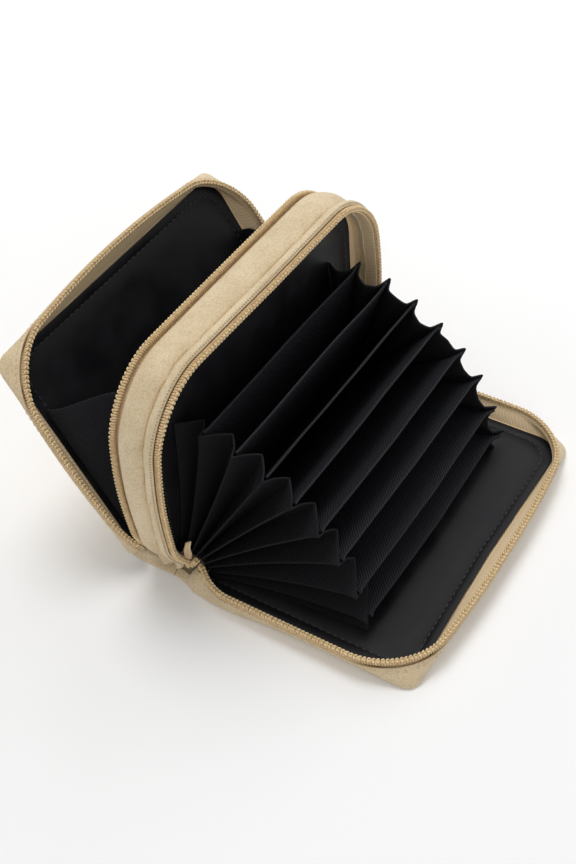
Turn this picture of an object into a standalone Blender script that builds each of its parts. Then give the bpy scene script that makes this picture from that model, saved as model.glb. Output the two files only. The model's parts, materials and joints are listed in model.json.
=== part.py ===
"""Accordion card wallet, standing open with its fan of card pockets spread.

The front cover lies on its back, the middle panel stands up from the spine and the back cover leans away.
World frame: metres, +Z up, +X along the spine. The origin is the middle of the front cover's outer face.
Each leather tray is closed by half of a zip. The hinge line of a zip runs along the spine between its halves.
Places on a panel are given as x, as reach (distance from the hinge line towards the free edge), and as
rise (distance from the hinge line square to the panel, towards the back of the closed wallet).
"""

import math

import bmesh
import bpy
from mathutils import Vector

# Materials' thicknesses and the play between pieces that lie on each other
LEATHER = 0.0010
BOARD = 0.0008
LINING = 0.0005
TAPE = 0.0004
GUSSET = 0.0006
LEAF = 0.0008
SEAT = 0.0003
WELD_DISTANCE = 0.000003

# Outer faces of the two covers
COVER_LENGTH = 0.118
COVER_WIDTH = 0.079
COVER_CORNER = 0.006
COVER_EDGE_ROUND = 0.0016
COVER_DEPTH = 0.0088
COVER_LEATHER_TOP = 0.0052

# Zip rims of the covers
RIM_LENGTH = 0.122
RIM_REACH = 0.0765
RIM_CORNER = 0.020
RIM_BOW = 0.006
BACK_SIDE_BOW = 0.0015
FRONT_TUCK = 0.0065
BACK_TUCK = 0.0035
TUCK_REACH = 0.014
RIM_FLARE = 0.0009
LEAN_ROOM = 0.0006
WALL_TURN_POWER = 1.3

# Middle panel, a tray on each side of one board
MIDDLE_DEPTH = 0.0204
MIDDLE_LENGTH = 0.122
MIDDLE_REACH = 0.0765
MIDDLE_CORNER = 0.022
MIDDLE_BOW = 0.0005
MIDDLE_SIDE_BOW = 0.0032
MIDDLE_TUCK = 0.0055
BAND_START = 0.0040
BAND_PUFF = 0.0013
SEAM_DIP = 0.0006
BAND_LOW = 0.0045

# Zips
ZIP_GAP = 0.0008
COIL_RADIUS = 0.0011
COIL_START = 0.0015
COIL_FAR_START = 0.0032
SLIDER_RUN = 0.0095

# Hinge lines
HINGE_INSET = 0.0010
MIDDLE_OPEN_DEG = 90.0
BACK_OPEN_DEG = 31.0

# Linings
LINING_MARGIN = 0.0038
LINING_CHAMFER = 0.0085
MIDDLE_LINING_MARGIN = 0.0045

# Accordion of pocket leaves, counted from the middle panel to the front cover
LEAF_OPEN_DEG = (81.0, 70.0, 59.0, 48.0, 37.0, 26.5, 14.0, 5.0)
LEAF_REACH = 0.054
LEAF_REACH_SHARES = (1.0, 0.98, 0.96, 0.96, 0.98, 1.0, 1.03, 1.07)
LEAF_PITCH = 0.0017
LEAF_LIFT = 0.0013
LEAF_CORNER = 0.0025
FAN_RIDGE = 0.0484
FAN_FOLD = 0.0084
FAN_START = 0.0030
EAR_OUT = 0.0030
EAR_REACH = 0.0045
BACK_STRIP_HALF = 0.0450
BACK_STRIP_STEP = 0.0006

# Gussets of the note pocket behind the middle panel
NOTE_RIDGE = 0.0545
NOTE_FOLD = 0.0150
NOTE_START = 0.0050
NOTE_REACH = 0.0560
NOTE_FOLD_SHARE = 0.62

# Spine leather
SPINE_HALF = 0.0570
SPINE_BEND = 0.0030

# Sliders and their pulls
SLIDER_HEIGHT = 0.0046
SLIDER_PLAY = 0.0011
SLIDER_PLATE = 0.0009
SLIDER_NOSE = 0.0022
SLIDER_TAIL = 0.0006
BRIDGE_WALL = 0.0007
BRIDGE_BORE = 0.0010
BRIDGE_WIDTH = 0.0014
PULL_BAR = 0.0010
PULL_LENGTH = 0.0135
PULL_WIDTH = 0.0052
PULL_EYE = 0.0026
PULL_ARM = 0.0010

# Counts
LEG_STEPS = 6
CORNER_STEPS = 7
EDGE_STEPS = 6
ROUND_STEPS = 3
WALL_STEPS = 3
FAN_ROWS = 6
BEND_STEPS = 5
LEAF_SIDE_STEPS = 6
BRIDGE_STEPS = 6
BORE_STEPS = 12
PULL_END_STEPS = 10
COIL_ROUND_STEPS = 2

# Sizes that follow from the ones above
HINGE_Y = COVER_WIDTH / 2 - HINGE_INSET
HINGE_Z = COVER_DEPTH + ZIP_GAP / 2
BASE_REACH = COVER_WIDTH - HINGE_INSET
BACK_RISE = ZIP_GAP + MIDDLE_DEPTH
MIDDLE_RISE = BACK_RISE / 2
COVER_FLOOR = LEATHER + SEAT + BOARD + SEAT
LINING_FACE = COVER_FLOOR + LINING
COIL_FOOT = 2 * COIL_RADIUS + SEAT
TAPE_TOP = COVER_DEPTH - COIL_FOOT
MIDDLE_FACE = BOARD / 2 + SEAT + LINING
FRONT_FACE_RISE = LINING_FACE - HINGE_Z
MIDDLE_FRONT_RISE = MIDDLE_RISE - MIDDLE_FACE
FIRST_LEAF_RISE = FRONT_FACE_RISE + LEAF_LIFT
LEAVES = len(LEAF_OPEN_DEG)


def leatherette():
    return material("beige_leatherette", (0.78, 0.66, 0.50), 0.55, 0.0)


def black_lining():
    return material("black_lining", (0.022, 0.022, 0.026), 0.45, 0.0)


def black_twill():
    return material("black_twill", (0.016, 0.016, 0.020), 0.70, 0.0)


def gold_coil():
    return material("gold_coil", (0.66, 0.50, 0.29), 0.38, 0.0)


def tan_tape():
    return material("tan_tape", (0.62, 0.44, 0.25), 0.80, 0.0)


def grey_board():
    return material("grey_board", (0.42, 0.40, 0.37), 0.90, 0.0)


def gold_metal():
    return material("gold_metal", (0.83, 0.66, 0.36), 0.28, 1.0)


def material(name, colour, roughness, metallic):
    """Principled material of that name, made once."""
    made = bpy.data.materials.get(name)
    if made is None:
        made = bpy.data.materials.new(name)
        made.use_nodes = True
        shader = made.node_tree.nodes["Principled BSDF"]
        shader.inputs["Base Color"].default_value = (*colour, 1.0)
        shader.inputs["Roughness"].default_value = roughness
        shader.inputs["Metallic"].default_value = metallic
    return made


def clear_scene():
    for old in list(bpy.data.objects):
        bpy.data.objects.remove(old)
    for old in list(bpy.data.collections):
        bpy.data.collections.remove(old)


def collection(name):
    made = bpy.data.collections.new(name)
    bpy.context.scene.collection.children.link(made)
    return made


def place(name, data, finish, parent, group):
    """Object for a sub-part, carried by the empty on its hinge line."""
    piece = bpy.data.objects.new(name, data)
    data.materials.append(finish)
    piece.parent = parent
    group.objects.link(piece)
    return piece


def hinge(name, parent, rise, open_deg, group):
    """Empty on a hinge line, turned from the closed wallet to the open one."""
    empty = bpy.data.objects.new(name, None)
    empty.empty_display_size = COVER_DEPTH
    empty.parent = parent
    empty.location = (0.0, 0.0, rise)
    empty.rotation_euler = (-math.radians(open_deg), 0.0, 0.0)
    group.objects.link(empty)
    return empty


def half_outline(half, reach, corner, start):
    """Near half of a three-sided outline: up the end, round the corner, to the middle of the free edge."""
    points = []
    for i in range(LEG_STEPS):
        points.append((-half, start + (reach - corner - start) * i / LEG_STEPS))
    for i in range(CORNER_STEPS):
        turn = math.pi / 2 * i / CORNER_STEPS
        points.append((corner * (1 - math.cos(turn)) - half, reach - corner * (1 - math.sin(turn))))
    for i in range(EDGE_STEPS + 1):
        points.append(((corner - half) * (1 - i / EDGE_STEPS), reach))
    return points


def three_sided(half, reach, corner, start, bow=0.0, side_bow=0.0, tuck=0.0, far_start=None):
    """Outline of near end, free edge and far end as (x, reach) pairs, from the spine round to the spine.

    Bow swells the free edge, side_bow the two ends, and tuck draws the near end in where it meets the spine.
    """
    near = half_outline(half, reach, corner, start)
    far = half_outline(half, reach, corner, start if far_start is None else far_start)
    shaped = []
    for x, r in near + [(-x, r) for x, r in reversed(far[:-1])]:
        along = min(max(r / reach, 0.0), 1.0)
        across = x / half
        inset = tuck * (1 - min(max(r / TUCK_REACH, 0.0), 1.0)) ** 2 if x < 0.0 else 0.0
        swell = side_bow * (4 * along * (1 - along)) ** 2 * across ** 4
        shaped.append((x + across * (swell - inset), r + bow * (1 - across ** 2) * along))
    return shaped


def mix(first, second, share):
    """Outline part of the way from one outline to another with as many points."""
    return [
        (ax + (bx - ax) * share, ar + (br - ar) * share)
        for (ax, ar), (bx, br) in zip(first, second)
    ]


def ring(outline, rise):
    return [Vector((x, -r, rise)) for x, r in outline]


def loft_mesh(name, rings, floor_first=False, floor_last=False):
    """Surface through rings of points; rings that rise have their faces pointing outwards."""
    bm = bmesh.new()
    rows = [[bm.verts.new(point) for point in points] for points in rings]
    for low, high in zip(rows, rows[1:]):
        for i in range(len(low) - 1):
            bm.faces.new((low[i], low[i + 1], high[i + 1], high[i]))
    if floor_first:
        bm.faces.new(reversed(rows[0]))
    if floor_last:
        bm.faces.new(rows[-1])
    mesh = bpy.data.meshes.new(name)
    bm.to_mesh(mesh)
    bm.free()
    return mesh


def thicken(piece, thickness):
    """Wall that grows inwards from the outer surface."""
    wall = piece.modifiers.new("wall", "SOLIDIFY")
    wall.thickness = thickness
    wall.offset = -1.0
    wall.use_even_offset = True


def outline_curve(name, loops, thickness):
    """Flat curve of a thickness, with its first loop filled and the others cut out of it."""
    curve = bpy.data.curves.new(name, "CURVE")
    curve.dimensions = "2D"
    curve.fill_mode = "BOTH"
    curve.extrude = thickness / 2
    for loop in loops:
        spline = curve.splines.new("POLY")
        spline.points.add(len(loop) - 1)
        for point, (x, y) in zip(spline.points, loop):
            point.co = (x, y, 0.0, 1.0)
        spline.use_cyclic_u = True
    return curve


def sheet_piece(name, outline, thickness, low_rise, finish, parent, group):
    """Flat sheet cut to a closed outline of (x, reach) pairs."""
    curve = outline_curve(name, [[(x, -r) for x, r in outline]], thickness)
    piece = place(name, curve, finish, parent, group)
    piece.location = (0.0, 0.0, low_rise + thickness / 2)


def coil_piece(name, path, rise, parent, group):
    """Zip coil as one bead round three sides, from the spine to the slider on the far end."""
    curve = bpy.data.curves.new(name, "CURVE")
    curve.dimensions = "3D"
    curve.bevel_depth = COIL_RADIUS
    curve.bevel_resolution = COIL_ROUND_STEPS
    curve.use_fill_caps = True
    spline = curve.splines.new("POLY")
    spline.points.add(len(path) - 1)
    for point, (x, r) in zip(spline.points, path):
        point.co = (x, -r, rise, 1.0)
    return place(name, curve, gold_coil(), parent, group)


def cover_base(inset=0.0):
    """Outer face of a cover."""
    corner = max(COVER_CORNER - inset, SEAT)
    return three_sided(COVER_LENGTH / 2 - inset, BASE_REACH - inset, corner, -HINGE_INSET)


def cover_rim(out, side_bow, tuck, start=-HINGE_INSET, far_start=-HINGE_INSET):
    """Line of a cover's zip, moved outwards by out."""
    return three_sided(
        RIM_LENGTH / 2 + out,
        RIM_REACH + out,
        RIM_CORNER + out,
        start,
        RIM_BOW,
        side_bow,
        tuck,
        far_start,
    )


def wall_outline(height, out, side_bow, tuck):
    """Outline of a cover's wall at a height over its outer face, turning from the face's to the rim's."""
    share = (height / TAPE_TOP) ** WALL_TURN_POWER
    return mix(cover_base(RIM_FLARE - out), cover_rim(out, side_bow, tuck), share)


def cover_levels():
    """Heights and insets of the leather's rounded foot and its wall."""
    levels = []
    for i in range(ROUND_STEPS):
        turn = math.pi / 2 * i / ROUND_STEPS
        levels.append((COVER_EDGE_ROUND * (1 - math.cos(turn)), COVER_EDGE_ROUND * (1 - math.sin(turn))))
    for i in range(WALL_STEPS + 1):
        height = COVER_EDGE_ROUND + (COVER_LEATHER_TOP - COVER_EDGE_ROUND) * i / WALL_STEPS
        levels.append((height, 0.0))
    return levels


def cover_skin(name, rise_of, downward, side_bow, tuck, parent, group):
    """Leather tray: flat outer face, rounded foot, and a wall that runs up to the rounder zip rim."""
    rings = []
    for height, inset in cover_levels():
        outline = wall_outline(height, RIM_FLARE - inset, side_bow, tuck)
        rings.append(ring(outline, rise_of(height)))
    if downward:
        mesh = loft_mesh(name, rings, floor_first=True)
    else:
        mesh = loft_mesh(name, rings[::-1], floor_last=True)
    piece = place(name, mesh, leatherette(), parent, group)
    thicken(piece, LEATHER)


def cover_tape(name, rise_of, downward, side_bow, tuck, parent, group):
    """Woven zip tape inside the leaning leather wall, from the lining up to the coil."""
    inner = RIM_FLARE - LEATHER - SEAT - LEAN_ROOM
    rings = []
    for i in range(WALL_STEPS + 1):
        height = COVER_FLOOR + (TAPE_TOP - COVER_FLOOR) * i / WALL_STEPS
        rings.append(ring(wall_outline(height, inner, side_bow, tuck), rise_of(height)))
    mesh = loft_mesh(name, rings if downward else rings[::-1])
    piece = place(name, mesh, tan_tape(), parent, group)
    thicken(piece, TAPE)


def chamfered(half, reach, start, chamfer):
    """Lining outline with its two free corners cut off."""
    return [
        (-half, start),
        (-half, reach - chamfer),
        (chamfer - half, reach),
        (half - chamfer, reach),
        (half, reach - chamfer),
        (half, start),
    ]


def cover(side, rise_of, downward, side_bow, tuck, coil_rise, parent, group):
    """Leather tray with its board, lining, zip tape and coil."""
    cover_skin(side + "_skin", rise_of, downward, side_bow, tuck, parent, group)
    board_low = min(rise_of(LEATHER + SEAT), rise_of(LEATHER + SEAT + BOARD))
    board_outline = cover_base(LINING_MARGIN)
    sheet_piece(side + "_board", board_outline, BOARD, board_low, grey_board(), parent, group)
    lining_low = min(rise_of(COVER_FLOOR), rise_of(LINING_FACE))
    lining_outline = chamfered(
        COVER_LENGTH / 2 - LINING_MARGIN, BASE_REACH - LINING_MARGIN, 0.0, LINING_CHAMFER
    )
    sheet_piece(side + "_lining", lining_outline, LINING, lining_low, black_lining(), parent, group)
    cover_tape(side + "_tape", rise_of, downward, side_bow, tuck, parent, group)
    coil_line = cover_rim(0.0, side_bow, tuck, COIL_START, COIL_FAR_START)
    coil_piece(side + "_coil", coil_line, coil_rise, parent, group)


def middle_outline(out, start, far_start=None):
    """Line of the middle panel's zips, moved outwards by out."""
    return three_sided(
        MIDDLE_LENGTH / 2 + out,
        MIDDLE_REACH + out,
        MIDDLE_CORNER + out,
        start,
        MIDDLE_BOW,
        MIDDLE_SIDE_BOW,
        MIDDLE_TUCK,
        far_start,
    )


def middle_band(name, towards_back, parent, group):
    """Puffed leather band from the zip tape to the seam round the middle board."""
    rings = []
    for i in range(2 * WALL_STEPS + 1):
        share = i / (2 * WALL_STEPS)
        depth = BAND_START + (MIDDLE_RISE - SEAT / 2 - BAND_START) * share
        puff = BAND_PUFF * math.sin(math.pi * share) - SEAM_DIP * share
        rise = BACK_RISE - depth if towards_back else depth
        rings.append(ring(middle_outline(RIM_FLARE + puff, -BAND_LOW), rise))
    mesh = loft_mesh(name, rings[::-1] if towards_back else rings)
    piece = place(name, mesh, leatherette(), parent, group)
    thicken(piece, LEATHER)


def middle_tape(name, towards_back, parent, group):
    """Zip tape from the coil down inside the leather band."""
    out = RIM_FLARE - SEAM_DIP - LEATHER - SEAT
    rings = []
    for depth in (ZIP_GAP / 2 + COIL_FOOT, MIDDLE_FRONT_RISE - SEAT):
        rise = BACK_RISE - depth if towards_back else depth
        rings.append(ring(middle_outline(out, -HINGE_INSET), rise))
    mesh = loft_mesh(name, rings[::-1] if towards_back else rings)
    piece = place(name, mesh, tan_tape(), parent, group)
    thicken(piece, TAPE)


def middle_panel(parent, group):
    """Board that stands on the spine leather, lined on both sides, with a band and half a zip on each side."""
    board_foot = LEATHER + SEAT - HINGE_Z
    board_outline = middle_outline(RIM_FLARE - SEAM_DIP - LEATHER - 2 * SEAT, board_foot)
    board_low = MIDDLE_RISE - BOARD / 2
    sheet_piece("middle_board", board_outline, BOARD, board_low, grey_board(), parent, group)
    lining_outline = chamfered(
        MIDDLE_LENGTH / 2 - MIDDLE_LINING_MARGIN,
        MIDDLE_REACH - MIDDLE_LINING_MARGIN,
        0.0,
        LINING_CHAMFER,
    )
    front_low = MIDDLE_FRONT_RISE
    back_low = MIDDLE_RISE + BOARD / 2 + SEAT
    sheet_piece("middle_front_lining", lining_outline, LINING, front_low, black_lining(), parent, group)
    sheet_piece("middle_back_lining", lining_outline, LINING, back_low, black_lining(), parent, group)
    middle_band("middle_front_band", False, parent, group)
    middle_band("middle_back_band", True, parent, group)
    middle_tape("middle_front_tape", False, parent, group)
    middle_tape("middle_back_tape", True, parent, group)
    coil_line = middle_outline(0.0, COIL_START, COIL_FAR_START)
    coil_rise = ZIP_GAP / 2 + COIL_RADIUS
    coil_piece("middle_front_coil", coil_line, coil_rise, parent, group)
    coil_piece("middle_back_coil", coil_line, BACK_RISE - coil_rise, parent, group)


def plane_point(open_deg, rise, reach):
    """Point (y, z) off a hinge line, on a panel that is opened by an angle."""
    turn = math.radians(open_deg)
    y = rise * math.sin(turn) - reach * math.cos(turn)
    z = rise * math.cos(turn) + reach * math.sin(turn)
    return y, z


def leaf_rise(number):
    """Distance of a leaf's middle plane from the hinge line; leaf 1 is next to the middle panel."""
    return FIRST_LEAF_RISE + LEAF_PITCH * (LEAVES - number)


def fan_planes():
    """Opening angle, rise and reach of each sheet that the pleats are sewn to, front cover first."""
    planes = [(0.0, FRONT_FACE_RISE + SEAT, LEAF_REACH * LEAF_REACH_SHARES[-1])]
    for number in range(LEAVES, 0, -1):
        reach = LEAF_REACH * LEAF_REACH_SHARES[number - 1]
        planes.append((LEAF_OPEN_DEG[number - 1], leaf_rise(number), reach))
    planes.append((MIDDLE_OPEN_DEG, MIDDLE_FRONT_RISE - SEAT, LEAF_REACH * LEAF_REACH_SHARES[0]))
    return planes


def spread(plane, other, reach):
    """Distance between two sheets of the fan at the same reach."""
    ay, az = plane_point(plane[0], plane[1], reach)
    by, bz = plane_point(other[0], other[1], reach)
    return math.hypot(by - ay, bz - az)


def leaf_half(number, reach):
    """Half length of a leaf at a reach: it ends where the pleat's wall starts to turn inwards."""
    planes = fan_planes()
    place_in_fan = LEAVES - number + 1
    nearest = min(
        spread(planes[place_in_fan], planes[place_in_fan - 1], reach),
        spread(planes[place_in_fan], planes[place_in_fan + 1], reach),
    )
    share = min((LEAF + SEAT) / nearest, 1.0)
    return FAN_RIDGE - FAN_FOLD * share - GUSSET - SEAT


def leaf_outline(number):
    """One side of the leaf from root to mouth, then the other side back."""
    top = LEAF_REACH * LEAF_REACH_SHARES[number - 1] - LEAF_CORNER / 2
    side = []
    for i in range(LEAF_SIDE_STEPS + 1):
        reach = (top - LEAF_CORNER) * (i / LEAF_SIDE_STEPS) ** 2
        side.append((leaf_half(number, reach), reach))
    widest = side[-1][0]
    side.append((widest - LEAF_CORNER, top))
    return [(-x, r) for x, r in side] + side[::-1]


def accordion_leaves(root_hinge, group):
    """Stiff divider sheets between the card pockets, each on its own hinge empty."""
    for number in range(1, LEAVES + 1):
        carrier = hinge(f"leaf_{number}_hinge", root_hinge, 0.0, LEAF_OPEN_DEG[number - 1], group)
        low = leaf_rise(number) - LEAF / 2
        name = f"accordion_leaf_{number}"
        sheet_piece(name, leaf_outline(number), LEAF, low, black_twill(), carrier, group)


def fan_columns(reach_share):
    """Places across the pleats at one share of their reach, as (y, z, fold share, ear share)."""
    planes = fan_planes()
    columns = []
    for i, (angle, rise, top) in enumerate(planes):
        reach = FAN_START + (top - FAN_START) * reach_share
        y, z = plane_point(angle, rise, reach)
        if i > 0:
            last_y, last_z = columns[-1][0], columns[-1][1]
            columns.append(((last_y + y) / 2, (last_z + z) / 2, 1.0, 0.0))
        sewn_to_leaf = 0 < i < len(planes) - 1
        ear = max(0.0, 1 - (top - reach) / EAR_REACH) if sewn_to_leaf else 0.0
        columns.append((y, z, 0.0, ear))
    return columns


def fan_rows():
    """Shares of the reach at which the pleats have points, closer together at the ears."""
    ear_share = 1 - EAR_REACH / LEAF_REACH
    return [ear_share * i / FAN_ROWS for i in range(FAN_ROWS + 1)] + [1.0]


def wall_solid(name, outer, thickness):
    """Closed sheet from a grid of points, with its inner side moved in along X."""
    bm = bmesh.new()
    side = 1.0 if outer[0][0].x > 0.0 else -1.0
    shift = Vector((side * thickness, 0.0, 0.0))
    front = [[bm.verts.new(p) for p in row] for row in outer]
    back = [[bm.verts.new(p - shift) for p in row] for row in outer]
    rows, columns = len(front), len(front[0])
    for i in range(rows - 1):
        for j in range(columns - 1):
            bm.faces.new((front[i][j], front[i][j + 1], front[i + 1][j + 1], front[i + 1][j]))
            bm.faces.new((back[i][j], back[i + 1][j], back[i + 1][j + 1], back[i][j + 1]))
    edge = [(0, j) for j in range(columns - 1)]
    edge += [(i, columns - 1) for i in range(rows - 1)]
    edge += [(rows - 1, j) for j in range(columns - 1, 0, -1)]
    edge += [(i, 0) for i in range(rows - 1, 0, -1)]
    for (a, b), (c, d) in zip(edge, edge[1:] + edge[:1]):
        bm.faces.new((front[a][b], back[a][b], back[c][d], front[c][d]))
    bmesh.ops.recalc_face_normals(bm, faces=bm.faces)
    mesh = bpy.data.meshes.new(name)
    bm.to_mesh(mesh)
    bm.free()
    return mesh


def accordion_gussets(root_hinge, group):
    """Pleated end walls of the fan: a ridge with an ear on each leaf, and a fold inwards between leaves."""
    for end, side in (("near", -1.0), ("far", 1.0)):
        grid = []
        for share in fan_rows():
            row = []
            for y, z, fold, ear in fan_columns(share):
                x = side * (FAN_RIDGE - FAN_FOLD * fold + EAR_OUT * ear)
                row.append(Vector((x, y, z)))
            grid.append(row)
        name = f"accordion_gusset_{end}"
        place(name, wall_solid(name, grid, GUSSET), black_twill(), root_hinge, group)


def accordion_back_strip(root_hinge, group):
    """Cloth strip behind the roots of the leaves, along the spine."""
    line = [plane_point(0.0, FRONT_FACE_RISE + SEAT, -BACK_STRIP_STEP)]
    for angle, rise, reach in fan_planes()[1:]:
        line.append(plane_point(angle, rise, -BACK_STRIP_STEP))
    rows = []
    for x in (BACK_STRIP_HALF, -BACK_STRIP_HALF):
        rows.append([Vector((x, y, z)) for y, z in line])
    name = "accordion_back_strip"
    piece = place(name, loft_mesh(name, rows), black_twill(), root_hinge, group)
    thicken(piece, TAPE)


def note_gussets(root_hinge, group):
    """End walls of the note pocket, each with one deep fold inwards."""
    middle_face = MIDDLE_RISE + MIDDLE_FACE + SEAT - BACK_RISE
    cover_face = ZIP_GAP / 2 + COVER_DEPTH - LINING_FACE - SEAT
    for end, side in (("near", -1.0), ("far", 1.0)):
        grid = []
        for i in range(FAN_ROWS + 1):
            reach = NOTE_START + (NOTE_REACH - NOTE_START) * i / FAN_ROWS
            my, mz = plane_point(MIDDLE_OPEN_DEG, middle_face, reach)
            cy, cz = plane_point(MIDDLE_OPEN_DEG + BACK_OPEN_DEG, cover_face, reach)
            fy = my + (cy - my) * NOTE_FOLD_SHARE
            fz = mz + (cz - mz) * NOTE_FOLD_SHARE
            ridge = side * NOTE_RIDGE
            fold = side * (NOTE_RIDGE - NOTE_FOLD)
            row = [(ridge, my, mz), (fold, fy, fz), (ridge, cy, cz)]
            grid.append([Vector((x, y + BACK_RISE, z)) for x, y, z in row])
        name = f"note_gusset_{end}"
        place(name, wall_solid(name, grid, GUSSET), black_twill(), root_hinge, group)


def spine_sheet(name, line, root_hinge, group):
    """Leather sheet along the spine over a line of (y, z) points on its outer side."""
    rows = []
    for x in (-SPINE_HALF, SPINE_HALF):
        rows.append([Vector((x, y - HINGE_Y, z - HINGE_Z)) for y, z in line])
    piece = place(name, loft_mesh(name, rows), leatherette(), root_hinge, group)
    thicken(piece, LEATHER)


def spine_leather(root_hinge, group):
    """Two leather sheets that lie under the hinges, from the front cover past the middle to the back cover."""
    seam_y = HINGE_Y + MIDDLE_RISE
    front_line = [(COVER_WIDTH / 2 + SEAT, 0.0), (seam_y - SEAT / 2, 0.0)]
    spine_sheet("spine_front_panel", front_line, root_hinge, group)
    open_deg = MIDDLE_OPEN_DEG + BACK_OPEN_DEG
    end_y, end_z = plane_point(open_deg, ZIP_GAP / 2 + COVER_DEPTH, -HINGE_INSET - SEAT)
    end = Vector((end_y + HINGE_Y + BACK_RISE, end_z + HINGE_Z))
    slope = math.tan(math.radians(open_deg - MIDDLE_OPEN_DEG))
    corner = Vector((end.x - end.y * slope, 0.0))
    flat = Vector((corner.x - SPINE_BEND, 0.0))
    line = [(seam_y + SEAT / 2, 0.0)]
    for i in range(BEND_STEPS + 1):
        t = i / BEND_STEPS
        point = flat * (1 - t) ** 2 + corner * 2 * t * (1 - t) + end * t ** 2
        line.append((point.x, point.y))
    spine_sheet("spine_back_panel", line, root_hinge, group)


def as_mesh(name, curve):
    """Closed mesh of a curve, its caps welded to its sides."""
    holder = bpy.data.objects.new(name, curve)
    bpy.context.scene.collection.objects.link(holder)
    bpy.context.view_layer.update()
    evaluated = holder.evaluated_get(bpy.context.evaluated_depsgraph_get())
    mesh = bpy.data.meshes.new_from_object(evaluated)
    bpy.data.objects.remove(holder)
    bm = bmesh.new()
    bm.from_mesh(mesh)
    bmesh.ops.remove_doubles(bm, verts=bm.verts, dist=WELD_DISTANCE)
    bmesh.ops.recalc_face_normals(bm, faces=bm.faces)
    bm.to_mesh(mesh)
    bm.free()
    return mesh


def arc(centre_x, centre_y, radius, start_deg, end_deg, steps):
    points = []
    for i in range(steps + 1):
        turn = math.radians(start_deg + (end_deg - start_deg) * i / steps)
        points.append((centre_x + radius * math.cos(turn), centre_y + radius * math.sin(turn)))
    return points


def slider_sizes():
    """Half depth of the coil's channel, and how far out of the coil's line the pull's axis lies."""
    channel = COIL_RADIUS + SLIDER_PLAY
    axis_out = channel + SLIDER_PLATE + BRIDGE_BORE
    return channel, axis_out


def slider(name, far_x, rise, parent, group, cutters):
    """Slider body with a channel for the coil and a bridge on its outer plate that holds the pull.

    Its outline is drawn with X out of the wallet and Y along the zip, away from the hinge line.
    """
    channel, axis_out = slider_sizes()
    outer = channel + SLIDER_PLATE
    low, high = -SLIDER_TAIL, SLIDER_RUN + SLIDER_TAIL
    body_loop = [
        (-outer, low),
        (outer, low),
        (outer, high),
        (channel, high),
        (channel, low + SLIDER_NOSE),
        (-channel, low + SLIDER_NOSE),
        (-channel, high),
        (-outer, high),
    ]
    body_mesh = as_mesh(name, outline_curve(name, [body_loop], SLIDER_HEIGHT))
    body = place(name, body_mesh, gold_metal(), parent, group)
    bridge_y = SLIDER_RUN / 2
    reach = BRIDGE_BORE + BRIDGE_WALL
    bridge_loop = [(outer - SLIDER_PLATE / 2, bridge_y - reach)]
    bridge_loop += arc(axis_out, bridge_y, reach, -90.0, 90.0, BRIDGE_STEPS)
    bridge_loop.append((outer - SLIDER_PLATE / 2, bridge_y + reach))
    bore = arc(axis_out, bridge_y, BRIDGE_BORE, 0.0, 360.0, BORE_STEPS)[:-1]
    bridge_name = name + "_bridge"
    bridge_mesh = as_mesh(bridge_name, outline_curve(bridge_name, [bridge_loop, bore], BRIDGE_WIDTH))
    bridge = place(bridge_name, bridge_mesh, gold_metal(), parent, cutters)
    for part in (body, bridge):
        part.location = (far_x, 0.0, rise)
        part.rotation_euler = (math.pi, 0.0, 0.0)
    bridge.hide_render = True
    bridge.display_type = "WIRE"
    union = body.modifiers.new("bridge", "BOOLEAN")
    union.operation = "UNION"
    union.object = bridge
    union.solver = "EXACT"


def pull(name, far_x, rise, parent, group):
    """Flat pull whose end bar is held under the slider's bridge; it points away from the zip."""
    axis_out = slider_sizes()[1]
    half_bar = PULL_BAR / 2
    half_width = PULL_WIDTH / 2
    end_radius = half_width
    body_loop = [(-half_width + PULL_ARM / 2, -half_bar), (half_width - PULL_ARM / 2, -half_bar)]
    body_loop += arc(0.0, PULL_LENGTH - end_radius, end_radius, 0.0, 180.0, PULL_END_STEPS)
    eye_half = half_width - PULL_ARM
    eye = [
        (-eye_half, half_bar),
        (eye_half, half_bar),
        (eye_half, PULL_EYE),
        (-eye_half, PULL_EYE),
    ]
    mesh = as_mesh(name, outline_curve(name, [body_loop, eye], PULL_BAR))
    piece = place(name, mesh, gold_metal(), parent, group)
    piece.location = (far_x + axis_out, -SLIDER_RUN / 2, rise)
    piece.rotation_euler = (0.0, math.pi / 2, 0.0)


def sliders(root_hinge, middle, group, cutters):
    """One slider for each zip, parked at the far end of the spine with the zip fully open."""
    slider("front_slider", RIM_LENGTH / 2, 0.0, root_hinge, group, cutters)
    pull("front_pull", RIM_LENGTH / 2, 0.0, root_hinge, group)
    slider("back_slider", MIDDLE_LENGTH / 2, BACK_RISE, middle, group, cutters)
    pull("back_pull", MIDDLE_LENGTH / 2, BACK_RISE, middle, group)


def front_height(height):
    """Rise of a height over the front cover's outer face, which lies down."""
    return height - HINGE_Z


def back_height(height):
    """Rise of a height over the back cover's outer face, which faces the other way."""
    return ZIP_GAP / 2 + COVER_DEPTH - height


def build():
    clear_scene()
    group = collection("accordion_card_wallet")
    cutters = collection("cutters")
    root_hinge = bpy.data.objects.new("front_hinge_line", None)
    root_hinge.empty_display_size = COVER_DEPTH
    root_hinge.location = (0.0, HINGE_Y, HINGE_Z)
    group.objects.link(root_hinge)
    middle = hinge("middle_hinge", root_hinge, 0.0, MIDDLE_OPEN_DEG, group)
    back = hinge("back_cover_hinge", middle, BACK_RISE, BACK_OPEN_DEG, group)
    front_coil_rise = -ZIP_GAP / 2 - COIL_RADIUS
    cover("front", front_height, True, 0.0, FRONT_TUCK, front_coil_rise, root_hinge, group)
    middle_panel(middle, group)
    cover("back", back_height, False, BACK_SIDE_BOW, BACK_TUCK, -front_coil_rise, back, group)
    spine_leather(root_hinge, group)
    accordion_leaves(root_hinge, group)
    accordion_gussets(root_hinge, group)
    accordion_back_strip(root_hinge, group)
    note_gussets(root_hinge, group)
    sliders(root_hinge, middle, group, cutters)
    bpy.context.view_layer.update()


build()
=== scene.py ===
import json
import math

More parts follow.
